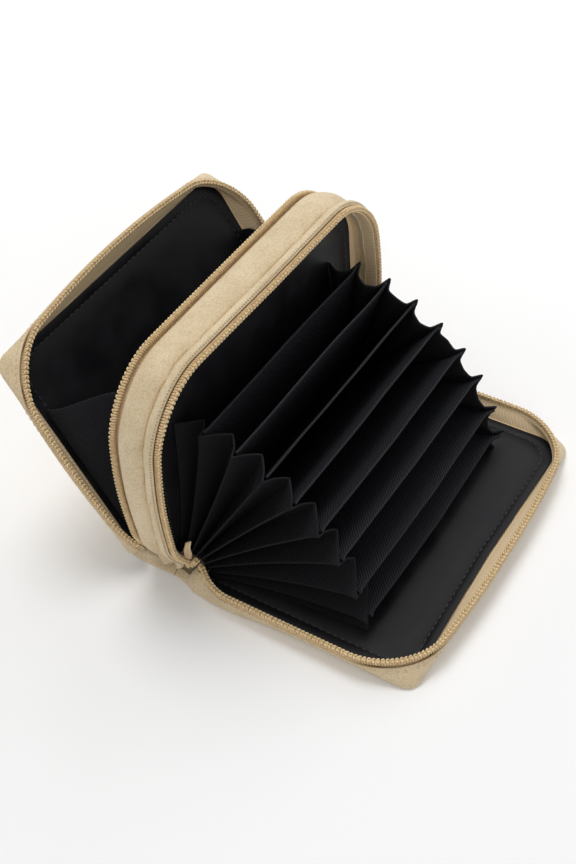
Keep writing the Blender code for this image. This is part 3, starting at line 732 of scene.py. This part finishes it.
rows, marks = [], []
for j in range(TAB_ROWS + 1):
    share = j / TAB_ROWS
    narrow = TAB_WIDTH / 2 * (1 - TAB_NARROWING * share)
    lean = TAB_WIDTH * (share - 0.5) * TAB_LEAN + TAPE * math.sin(share * TAB_WAVE)
    middle = TAB_PLACE + Vector((lean, -TAB_HEIGHT * share, 0.0))
    rows.append([middle + narrow * across * Vector((1.0, 0.0, -TAB_TURN)) for across in TAB_COLUMNS])
    marks.append([(narrow * across, TAB_HEIGHT * share) for across in TAB_COLUMNS])
tab = sheet("zip_tape_end", rows, marks, TAPE * 2, CLOTH_EDGE, 0.0)
done(tab, MIDDLE_PLACE, tape_cloth, "middle_panel")

# Linings
# Smooth black sheets are glued over the boards of both covers and on both sides of the middle panel.
# They end short of the walls, with rounded corners under the zip, and a black seam runs inside the edge.
SIDE_MARGIN = 0.0024
FREE_MARGIN = 0.0016
COVER_LINING_CORNER = 0.0100
EDGE_CURL = 0.0005
EDGE_CURL_FADE = 0.0045
LINING_LIGHT = (0.0095, 0.0093, 0.0110)
LINING_DEEP = (0.0052, 0.0052, 0.0064)
STITCH_INSET = 0.0032
STITCH_PITCH = 0.0026
STITCH_LENGTH = 0.0017
THREAD = 0.00026
SEAM_SINK = 0.00026
SEAM_LIP = 0.0008
LIP_RISE = 0.00012
LINING_RINGS = (
    (0.0, 0.0),
    (0.0003, LIP_RISE),
    (STITCH_INSET - SEAM_LIP, LIP_RISE),
    (STITCH_INSET, -SEAM_SINK),
    (STITCH_INSET + SEAM_LIP, LIP_RISE),
    (STITCH_INSET + 0.006, 0.00005),
    (STITCH_INSET + 0.018, 0.0),
)
LINING_STEPS = (14, 12, 14)
BLACK_LIGHT = (0.028, 0.028, 0.032)
BLACK_DEEP = (0.014, 0.014, 0.017)

black_lining, tree, shader = principled("black_lining", roughness=0.46, specular=0.14)
patch = blotches(tree, 0.012, 4.0)
tree.links.new(colour_ramp(tree, patch, (0.35, LINING_DEEP), (0.65, LINING_LIGHT)), shader["Base Color"])
rub = colour_ramp(tree, patch, (0.30, (0.40, 0.40, 0.40)), (0.70, (0.56, 0.56, 0.56)))
tree.links.new(rub, shader["Roughness"])
grain = bumps(tree, shader, blotches(tree, 0.00045, 2.0), 0.00005, 0.5)
bumps(tree, shader, blotches(tree, 0.014, 1.0), 0.0007, 0.25, grain)
black_thread = shiny_nylon("black_thread", BLACK_LIGHT, BLACK_DEEP)


def sewn_bead(tree, given):
    """Stitch of thread, rounder than the strands of the chain."""
    return bead(tree, given, 8, 6)


stitch_tree = row_tree("stitch_row", ("Pitch", "Thread", "Length"), sewn_bead)


def stitches(name, points, pitch, length, place, finish, slot, body):
    """Row of sewn stitches along points."""
    sizes = {"Pitch": pitch, "Thread": THREAD, "Length": length / 2}
    row_along(name, points, stitch_tree, sizes, place, finish, body)


def lining_ring(outline, half, reach, inset, rise, outward):
    """Outline moved in by inset; its free edge stands up a little."""
    lift = outward * EDGE_CURL * math.exp(-inset / EDGE_CURL_FADE)
    return [
        Vector((x * (1 - inset / half), -r * (1 - inset / reach), rise + lift * (r / reach) ** 8))
        for x, r in outline
    ]


def lining(name, node, size, swells, face, outward, place, body):
    """Lining whose upper face looks outward (1) or inward (-1), with a sunk, stitched seam."""
    half, reach = size[:2]
    outline = three_sided(*size, 0.0, swells, LINING_STEPS, 1.0)
    rows = []
    for inset, step in LINING_RINGS[::-1]:
        rows.append(lining_ring(outline, half, reach, inset, face + step * outward, outward))
    marks = [[(point.x, point.y) for point in row] for row in rows]
    piece = sheet(name, rows, marks, LINING, floor_first=True)
    build = bmesh.new()
    build.from_mesh(piece.data)
    bmesh.ops.recalc_face_normals(build, faces=build.faces)
    inner = max(build.faces, key=lambda face: face.calc_area())
    if inner.normal.z * outward < 0.0:
        bmesh.ops.reverse_faces(build, faces=build.faces)
    build.to_mesh(piece.data)
    build.free()
    done(piece, place, black_lining, body, node)
    sunk = face - (SEAM_SINK - THREAD / 2) * outward
    seam = lining_ring(outline, half, reach, STITCH_INSET, sunk, outward)
    stitches(name + "_stitches", seam, STITCH_PITCH, STITCH_LENGTH, place, black_thread, "lining", body)


cover_size = COVER_LENGTH / 2 - SIDE_MARGIN, COVER_REACH - FREE_MARGIN, COVER_LINING_CORNER
middle_size = [MIDDLE_RIM[key] - SIDE_MARGIN for key in ("half", "reach", "corner")]
middle_swells = swells_of(MIDDLE_RIM, "tuck", "skew")
front_face, back_face = front_rise(COVER_FLOOR + LINING), back_rise(COVER_FLOOR + LINING)
middle_front_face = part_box("middle_front_lining")[0].y - FRONT_HINGE.y
middle_back_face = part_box("middle_back_lining")[1].y - FRONT_HINGE.y
for side, face, outward, rim, place in (
    ("front", front_face, 1.0, FRONT_RIM, FRONT_PLACE),
    ("back", back_face, -1.0, BACK_RIM, BACK_PLACE),
):
    names = f"{side}_cover_lining", f"{side}_lining"
    lining(*names, cover_size, swells_of(rim, "skew"), face, outward, place, f"{side}_cover")
for side, face, outward in (("front", middle_front_face, -1.0), ("back", middle_back_face, 1.0)):
    names = f"middle_lining_{side}", f"middle_{side}_lining"
    lining(*names, middle_size, middle_swells, face, outward, MIDDLE_PLACE, "middle_panel")

# Boards
# Plain grey boards stiffen both covers and the middle panel.
# They are glued between the leather and the linings, which hide them.
grey_board, tree, shader = principled("grey_board", roughness=0.9)
fibres = blotches(tree, 0.0008, 3.0)
board_colour = colour_ramp(tree, fibres, (0.3, (0.36, 0.34, 0.31)), (0.7, (0.46, 0.44, 0.41)))
tree.links.new(board_colour, shader["Base Color"])
for node in ("front_board", "middle_board", "back_board"):
    board = frame["nodes"][node]
    board.data.materials.clear()
    board.data.materials.append(grey_board)

# Leaves of the accordion
# Eight stiff dividers of black twill stand between the card pockets like the ribs of a fan.
# Each is a doubled sheet that swells a little between its ends. Its upper corners end in small pointed ears.
LEAF = 0.0008
LEAF_EDGE = 0.0003
LEAF_REACH = 0.054
LEAF_REACH_SHARES = (1.0, 0.98, 0.96, 0.96, 0.98, 1.0, 1.03, 1.07)
LEAF_PITCH = 0.0017
LEAF_LIFT = 0.0013
LEAF_WAVE = 0.0005
LEAF_WAVE_SIZE = 0.022
FAN_RIDGE = 0.0484
FAN_FOLD = 0.0084
GUSSET = 0.0006
PLAY = 0.0003
ROOT_OUT = 0.0058
NEAR_ROOT_OUT = 0.0054
EAR_OUT = 0.0030
EAR_REACH = 0.0052
EAR_RISE = 0.0022
NEAR_EAR = 0.40
NEAR_DRAW = 0.0015
FAR_DRAW = 0.0040
FAR_DROOP = 0.035
ROOT_FADE = 2.4
DRAW_FADE = 1.5
TWILL_PITCH = 0.00080
TWILL_LIGHT = (0.0200, 0.0205, 0.0245)
TWILL_DEEP = (0.0065, 0.0068, 0.0085)
LEAF_ROWS = 24
LEAF_COLUMNS = 40
LEAF_CROWD = 1.6
EAR_POINT = 1.5
LEAF_OPEN = [joints[f"leaf_{i}_fold"]["range_deg"][1] for i in range(1, 9)]


def black_twill_cloth(name, light, deep, pitch):
    """Black twill: fine slanted ribs that catch the light."""
    made, tree, shader = principled(name, roughness=0.62, specular=0.12)
    ribs = stripes(tree, pitch, -48.0, 0.4)
    tree.links.new(colour_ramp(tree, ribs, (0.10, deep), (0.75, light)), shader["Base Color"])
    weave = bumps(tree, shader, ribs, pitch / 4, 0.7)
    bumps(tree, shader, blotches(tree, 0.0004, 2.0), 0.00005, 0.4, weave)
    return made


twill = black_twill_cloth("black_twill", TWILL_LIGHT, TWILL_DEEP, TWILL_PITCH)


def plane_point(open_deg, rise, reach):
    """(y, z) from the front hinge of a point on a panel that is opened by an angle."""
    turn = math.radians(open_deg)
    return rise * math.sin(turn) - reach * math.cos(turn), rise * math.cos(turn) + reach * math.sin(turn)


# Opening angle, rise and reach of each sheet that the pleats are sewn to, front cover first
PLANES = [(0.0, front_face + PLAY, LEAF_REACH * LEAF_REACH_SHARES[7])]
for number in range(8, 0, -1):
    rise = front_face + LEAF_LIFT + LEAF_PITCH * (8 - number)
    PLANES.append((LEAF_OPEN[number - 1], rise, LEAF_REACH * LEAF_REACH_SHARES[number - 1]))
PLANES.append((MIDDLE_OPEN, middle_front_face - PLAY, LEAF_REACH * LEAF_REACH_SHARES[0]))


def ridge_at(share, side):
    """Length of the fan on a side, from its root (0) to its mouth (1)."""
    draw, root = (NEAR_DRAW, NEAR_ROOT_OUT) if side < 0.0 else (FAR_DRAW, ROOT_OUT)
    return FAN_RIDGE + root * (1 - share) ** ROOT_FADE - draw * share ** DRAW_FADE


def leaf_half(number, reach, side):
    """Length of a leaf on a side at a reach, up to the pleat's wall."""
    place = 9 - number
    here = plane_point(*PLANES[place][:2], reach)
    gap = min(math.dist(here, plane_point(*PLANES[other][:2], reach)) for other in (place - 1, place + 1))
    fold = FAN_FOLD * min((LEAF + PLAY) / gap, 1.0)
    return ridge_at(reach / PLANES[place][2], side) - fold - GUSSET - PLAY


for number in range(1, 9):
    open_deg, rise, top = PLANES[9 - number]
    rows, marks = [], []
    for j in range(LEAF_ROWS + 1):
        reach = top * (1 - (1 - j / LEAF_ROWS) ** LEAF_CROWD)
        row, tags = [], []
        for i in range(LEAF_COLUMNS + 1):
            across = 2 * i / LEAF_COLUMNS - 1
            inner = leaf_half(number, reach, across)
            ear = EAR_OUT * (NEAR_EAR if across < 0.0 else 1.0)
            half = inner + ear * max(0.0, 1 - (top - reach) / EAR_REACH) ** EAR_POINT
            x = half * across
            calm = 1 - across ** 2
            slump = LEAF_WAVE * calm * noise.noise(Vector((x, reach, number * LEAF_REACH)) / LEAF_WAVE_SIZE)
            tip = EAR_RISE * max(0.0, (abs(x) - inner) / EAR_OUT) - FAR_DROOP * reach * max(across, 0.0)
            row.append(Vector((x, -reach - tip, rise + slump * reach / top)))
            tags.append((x, reach))
        rows.append(row)
        marks.append(tags)
    leaf = sheet(f"leaf_{number}", rows, marks, LEAF, LEAF_EDGE, 0.0)
    done(leaf, standing(FRONT_HINGE, open_deg), twill, f"leaf_{number}", f"accordion_leaf_{number}")

# Pleated gussets
# The ends of the fan are pleated twill: a pinched ridge is sewn to each leaf, and a fold turns in between.
# The near end folds deeply all the way. The far end is drawn almost flat at its mouth, pleat by pleat.
FAN_START = 0.0010
RIDGE_SPAN_SHARE = 0.10
RIDGE_PINCH = 0.0009
NEAR_DIP = 0.0032
FAR_DIP = 0.0004
DIP_FADE = 6
EAR_SHARE = 0.75
PLEAT_ROWS = 26
PLEAT_COLUMNS = 20
PLEAT_CROWD = 0.85
FOLD_ROUND = 1.25
FAR_FOLDS = (0.0020, 0.0022, 0.0016, 0.0010, -0.0014, 0.0020, 0.0003, 0.0032, 0.0026)
# Painted shade: the gussets' twill is coloured darker than the leaves' twill, for the shade in the deep
# folds.
SHADED_TWILL_LIGHT = (0.0105, 0.0105, 0.0125)
SHADED_TWILL_DEEP = (0.0040, 0.0040, 0.0050)

shaded_gusset_twill = black_twill_cloth("black_twill_painted_shade", SHADED_TWILL_LIGHT, SHADED_TWILL_DEEP, TWILL_PITCH)


def pleat_rows(side, low, high, index):
    """Rows of points over one pleat, from the lower sheet to the upper one, and their UV marks."""
    rows, marks = [], []
    for j in range(PLEAT_ROWS + 1):
        share = (j / PLEAT_ROWS) ** PLEAT_CROWD
        depth = FAN_FOLD if side < 0.0 else FAN_FOLD + (FAR_FOLDS[index] - FAN_FOLD) * share
        row, along = [], []
        for i in range(PLEAT_COLUMNS + 1):
            t = (1 - math.cos(math.pi * i / PLEAT_COLUMNS)) / 2
            fold = 1 - abs(1 - 2 * t) ** FOLD_ROUND
            dip = (NEAR_DIP if side < 0.0 else FAR_DIP) * math.sin(math.pi * t) * share ** DIP_FADE
            ends, pinch = [], 0.0
            for (angle, rise, top), away, is_end in ((low, t, index == 0), (high, 1 - t, index == 8)):
                near = 0.0 if is_end else math.exp(-((away / RIDGE_SPAN_SHARE) ** 2))
                ear = EAR_SHARE * near * max(0.0, 1 - (1 - share) * top / EAR_REACH) ** EAR_POINT
                ear *= NEAR_EAR if side < 0.0 else 1.0
                reach = FAN_START + (top * (1 - FAR_DROOP * max(side, 0.0)) - FAN_START) * share
                ends.append(plane_point(angle, rise, reach - dip + EAR_RISE * ear))
                pinch += RIDGE_PINCH * near * share + EAR_OUT * ear
            y = ends[0][0] + (ends[1][0] - ends[0][0]) * t
            z = ends[0][1] + (ends[1][1] - ends[0][1]) * t
            row.append(Vector((side * (ridge_at(share, side) - depth * fold + pinch), y, z)))
            along.append(share * (low[2] + (high[2] - low[2]) * t))
        rows.append(row)
        marks.append(list(zip(travelled(row), along)))
    return rows, marks


def travelled(row):
    """Distance travelled along a row of a folded sheet at each of its points."""
    total = [0.0]
    for a, b in zip(row, row[1:]):
        total.append(total[-1] + (b - a).length)
    return total


def fan_pleat(end, side, index):
    """One pleat between two neighbouring sheets."""
    low, high = PLANES[index], PLANES[index + 1]
    rows, marks = pleat_rows(side, low, high, index)
    piece = sheet(f"pleat_{end}_{index + 1}", rows, marks, GUSSET, CLOTH_EDGE, 0.0)
    # The pleats take the twill darkened with painted shade.
    piece = done(piece, FRONT_PLACE, shaded_gusset_twill)
    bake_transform(piece)
    return piece


for end, side in (("near", -1.0), ("far", 1.0)):
    pleats = [fan_pleat(end, side, index) for index in range(len(PLANES) - 1)]
    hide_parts(f"accordion_gusset_{end}")

# Strip behind the leaves
# A narrow strip of the same twill, in the darker colour that paints the folds' shade, closes the fan behind
# the leaves' roots, along the spine.
# It is sewn to the front cover's lining and to the middle panel's, and folds between them.
STRIP_HALF = 0.0528
STRIP_BACK = 0.0006
STRIP_ROWS = 30

rows, marks = [], []
for i in range(STRIP_ROWS + 1):
    x = STRIP_HALF * (1 - 2 * i / STRIP_ROWS)
    line = [Vector((x, *plane_point(angle, rise, -STRIP_BACK))) for angle, rise, top in PLANES]
    rows.append(line)
    marks.append([(x, TAPE * j) for j in range(len(line))])
strip = sheet("root_strip", rows, marks, TAPE, CLOTH_EDGE)
# The strip takes the same twill darkened with painted shade.
strip = done(strip, FRONT_PLACE, shaded_gusset_twill)
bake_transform(strip)
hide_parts("accordion_back_strip")

# Note pocket's gussets
# The wide pocket behind the middle panel has a twill gusset at each end, with one deep fold turned inwards.
# Each is sewn to the middle panel's lining and to the back cover's. The far one is pulled open at its mouth.
NOTE_RIDGE = 0.0545
NOTE_FOLD = 0.0150
NOTE_START = 0.0050
NOTE_REACH = 0.0560
NOTE_FOLD_SHARE = 0.62
NOTE_SAG = 0.0016
NOTE_FAR_RIDGE = 0.0020
NOTE_FAR_REACH = 0.0030
NOTE_FAR_FLAT = 0.6
NOTE_FOLD_SHARP = 1.15
NOTE_ROWS = 26
NOTE_COLUMNS = 24

note_front = middle_back_face + PLAY - BACK_RISE
note_back = back_face - PLAY
for end, side in (("near", -1.0), ("far", 1.0)):
    rows, marks = [], []
    for j in range(NOTE_ROWS + 1):
        share = j / NOTE_ROWS
        reach = NOTE_START + (NOTE_REACH - NOTE_START) * share
        pulled_flat = max(side, 0.0) * share
        depth = NOTE_FOLD * (1 - NOTE_FAR_FLAT * pulled_flat)
        first = Vector(plane_point(MIDDLE_OPEN, note_front, reach + NOTE_FAR_REACH * pulled_flat))
        last = Vector(plane_point(BACK_OPEN, note_back, reach - NOTE_FAR_REACH * pulled_flat))
        row = []
        for i in range(NOTE_COLUMNS + 1):
            t = i / NOTE_COLUMNS
            fold = t / NOTE_FOLD_SHARE if t < NOTE_FOLD_SHARE else (1 - t) / (1 - NOTE_FOLD_SHARE)
            y, z = first + (last - first) * t
            z -= NOTE_SAG * math.sin(math.pi * t) * share ** 3 * (1 - 2 * pulled_flat)
            x = NOTE_RIDGE + NOTE_FAR_RIDGE * pulled_flat - depth * fold ** NOTE_FOLD_SHARP
            x = side * (x + NOTE_SAG / 2 * math.sin(2 * math.pi * fold) * share)
            row.append(Vector((x, y, z)))
        rows.append(row)
        marks.append([(travel, reach) for travel in travelled(row)])
    gusset = sheet(f"note_pleat_{end}", rows, marks, GUSSET, CLOTH_EDGE, 0.0)
    gusset = done(gusset, standing(BACK_HINGE, 0.0), twill, "middle_panel")
    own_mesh(gusset)
    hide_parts(f"note_gusset_{end}")

# Spine leather
# Leather runs on under the zips from the front cover past the middle panel to the back cover.
# It lies slack on the table and bends up at the back cover, and its ends turn up to the walls of both covers.
SPINE_HALF = 0.0572
FAR_FLARE = 0.0018
NEAR_FLARE = 0.0026
SPINE_BEND = 0.0030
NEAR_TURN_IN = 0.0038
FAR_TURN_OUT = 0.0022
FRONT_WALL = 0.0062
FLAP_TURN_IN = 0.0020
FLAP_START = 0.0408
FLAP_END = 0.0458
BACK_WALL_START = 0.0046
BACK_WALL_FADE = 0.0016
BACK_FLARE = 0.15
HEM_RISE = 0.0022
HEM_TURN_IN = 0.0030
FOOT_ROUND = 0.0010
WALL_BULGE = 0.0006
WALL_STEPS = 8
FLAT_STEPS = 60
FRONT_STEPS = 12
BACK_STEPS = 10
FLARE_FADE = 1.5
SPINE_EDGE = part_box("spine_front_panel")[0].y


def spine_sheet(name, line, flares, heights, turns):
    """Leather sheet along the spine over a line of (y, z) points, with its ends turned up."""
    columns = [("wall", -1.0, k / WALL_STEPS) for k in range(WALL_STEPS, 0, -1)]
    columns += [("flat", 2 * i / FLAT_STEPS - 1, 0.0) for i in range(FLAT_STEPS + 1)]
    columns += [("wall", 1.0, k / WALL_STEPS) for k in range(1, WALL_STEPS + 1)]
    rows, marks = [], []
    for part, across, share in columns:
        row, tags, travel = [], [], 0.0
        for j, ((y, z), flare, height, turn_in) in enumerate(zip(line, flares, heights, turns)):
            out = (FAR_FLARE if across > 0.0 else NEAR_FLARE) * flare
            x, lift = across * (SPINE_HALF + out - FOOT_ROUND), 0.0
            if part == "wall":
                lift = max(height, HEM_RISE) * share
                turn = FAR_TURN_OUT * height / FRONT_WALL if across > 0.0 else -max(turn_in, HEM_TURN_IN)
                foot = FOOT_ROUND * math.sin(math.pi / 2 * min(lift / FOOT_ROUND, 1.0))
                x += across * (foot + WALL_BULGE * math.sin(math.pi * share) + turn * share ** WALL_LEAN)
            row.append(Vector((x, y, z + lift)))
            travel += 0.0 if j == 0 else math.dist(line[j - 1], line[j])
            tags.append((x + across * lift, travel))
        rows.append(row)
        marks.append(tags)
    piece = sheet(name, rows, marks, LEATHER, LEATHER_EDGE)
    return done(piece, Matrix.Identity(4), leatherette)


seam_y = FRONT_HINGE.y + SEAM_RISE
front_run = seam_y - PLAY / 2 - SPINE_EDGE
front_line = [(SPINE_EDGE + front_run * j / FRONT_STEPS, 0.0) for j in range(FRONT_STEPS + 1)]
front_flares = [(1 - j / FRONT_STEPS) ** FLARE_FADE for j in range(FRONT_STEPS + 1)]
front_heights, front_turns = [], []
for j, (y, z) in enumerate(front_line):
    past = clamped((y - FLAP_START) / (FLAP_END - FLAP_START))
    left = 1 - past * past * (3 - 2 * past)
    front_heights.append(FRONT_WALL * left)
    front_turns.append((NEAR_TURN_IN + FLAP_TURN_IN * min(j / 2, 1.0)) * left)
spine_front = spine_sheet("spine_leather_front", front_line, front_flares, front_heights, front_turns)
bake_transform(spine_front)
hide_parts("spine_front_panel")
end_y, end_z = plane_point(BACK_OPEN, ZIP_GAP / 2 + COVER_DEPTH, -SPINE_INSET - PLAY)
end = Vector((end_y + BACK_HINGE.y, end_z + BACK_HINGE.z))
slope = math.tan(math.radians(BACK_OPEN - MIDDLE_OPEN))
corner = Vector((end.x - end.y * slope, 0.0))
flat = Vector((corner.x - SPINE_BEND, 0.0))
back_line = [(seam_y + PLAY / 2 + (flat.x - seam_y) * j / BACK_STEPS, 0.0) for j in range(BACK_STEPS)]
for j in range(BACK_STEPS + 1):
    t = j / BACK_STEPS
    bend = flat * (1 - t) ** 2 + corner * 2 * t * (1 - t) + end * t ** 2
    back_line.append((bend.x, bend.y))
back_heights = []
for y, z in back_line:
    high = end.y + (end.x - max(y, BACK_HINGE.y)) * slope - z
    short = max(BACK_HINGE.y + BACK_WALL_START - y, 0.0)
    back_heights.append(max(high, 0.0) * math.exp(-((short / BACK_WALL_FADE) ** 2)))
back_run = corner.x - BACK_HINGE.y
back_flares = [BACK_FLARE * max((y - BACK_HINGE.y) / back_run, 0.0) ** 2 for y, z in back_line]
back_turns = [NEAR_TURN_IN * height / FRONT_WALL for height in back_heights]
spine_back = spine_sheet("spine_leather_back", back_line, back_flares, back_heights, back_turns)
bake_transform(spine_back)
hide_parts("spine_back_panel")

# Stitches of the leather
# A row of beige thread holds each cover's leather edge to the zip tape, just under the coil.
# Brown thread does so on the middle panel, and holds the tapes of the covers inside, tight beside the coil,
# where it also paints the shadow along the coil's inner edge.
LEATHER_STITCH_PITCH = 0.0022
LEATHER_STITCH_LENGTH = 0.0016
LEATHER_STITCH_DROP = 0.0010
BAND_STITCH_PITCH = 0.0011
BAND_STITCH_LENGTH = 0.0006
BAND_STITCH_DROP = 0.0005
TAPE_STITCH_HEIGHT = 0.0061
TAPE_STITCH_IN = 0.0012
TAPE_STITCH_SKIP = 8
BEIGE_LIGHT = (0.72, 0.58, 0.37)
BEIGE_DEEP = (0.56, 0.43, 0.26)
BROWN_LIGHT = (0.44, 0.34, 0.22)
BROWN_DEEP = (0.34, 0.25, 0.155)

beige_thread = shiny_nylon("beige_thread", BEIGE_LIGHT, BEIGE_DEEP)
brown_thread = shiny_nylon("brown_thread", BROWN_LIGHT, BROWN_DEEP)
leather_sizes = LEATHER_STITCH_PITCH, LEATHER_STITCH_LENGTH
brown_sizes = BAND_STITCH_PITCH, BAND_STITCH_LENGTH
height = LEATHER_TOP - LEATHER_STITCH_DROP
for side, rim, rise_of, place in COVERS:
    seam = at_rise(wall_line(rim, height, RIM_FLARE), rise_of(height))
    name = f"{side}_leather_stitches"
    stitches(name, seam, *leather_sizes, place, beige_thread, "leatherette", f"{side}_cover")
# Painted shadow: the brown stitches on the covers' tapes are real stitching, set against the coil where they
# also stand for its edge shadow.
for side, rim, rise_of, place in COVERS:
    line = wall_line(rim, TAPE_STITCH_HEIGHT, -TAPE_STITCH_IN)[TAPE_STITCH_SKIP:-TAPE_STITCH_SKIP]
    seam = at_rise(line, rise_of(TAPE_STITCH_HEIGHT))
    stitches(f"{side}_tape_stitches_and_painted_shadow", seam, *brown_sizes, place, brown_thread, "zip_tape", f"{side}_cover")
puff = puff_at(BAND_STITCH_DROP / (OUTER_SEAM - FRONT_BAND_START))
depth = FRONT_BAND_START + BAND_STITCH_DROP
seam = leaned(at_rise(rim_line(MIDDLE_RIM, RIM_FLARE + puff), depth))
stitches("front_band_stitches", seam, *brown_sizes, MIDDLE_PLACE, brown_thread, "leatherette", "middle_panel")

# Sliders and pulls
# Each zip has a small plated slider parked at the far end of the spine, with a flat pull under its bridge.
# Both are cast metal with softened edges, and the pull swings on the slider's bridge.
GOLD = (0.86, 0.68, 0.38)
METAL_EDGE = 0.00018
MERGE_DIST = 0.000003

gold_metal, tree, shader = principled("gold_metal", roughness=0.24, colour=GOLD)
shader["Metallic"].default_value = 1.0
wear = blotches(tree, 0.002, 4.0)
shine = colour_ramp(tree, wear, (0.3, (0.20, 0.20, 0.20)), (0.7, (0.34, 0.34, 0.34)))
tree.links.new(shine, shader["Roughness"])
bumps(tree, shader, blotches(tree, 0.0005, 2.0), 0.00002, 0.3)
for node, body in (
    ("front_slider", "front_cover"),
    ("back_slider", "middle_panel"),
    ("front_pull", "front_pull"),
    ("back_pull", "back_pull"),
):
    mesh = frame["nodes"][node].data.copy()
    build = bmesh.new()
    build.from_mesh(mesh)
    bmesh.ops.remove_doubles(build, verts=build.verts, dist=MERGE_DIST)
    bmesh.ops.dissolve_limit(build, angle_limit=math.radians(1), verts=build.verts, edges=build.edges)
    build.to_mesh(mesh)
    build.free()
    metal = placed(node + "_metal", mesh)
    soft_edge(metal, METAL_EDGE, segments=3, angle_deg=35)
    done(metal, Matrix.Identity(4), gold_metal, body, node)
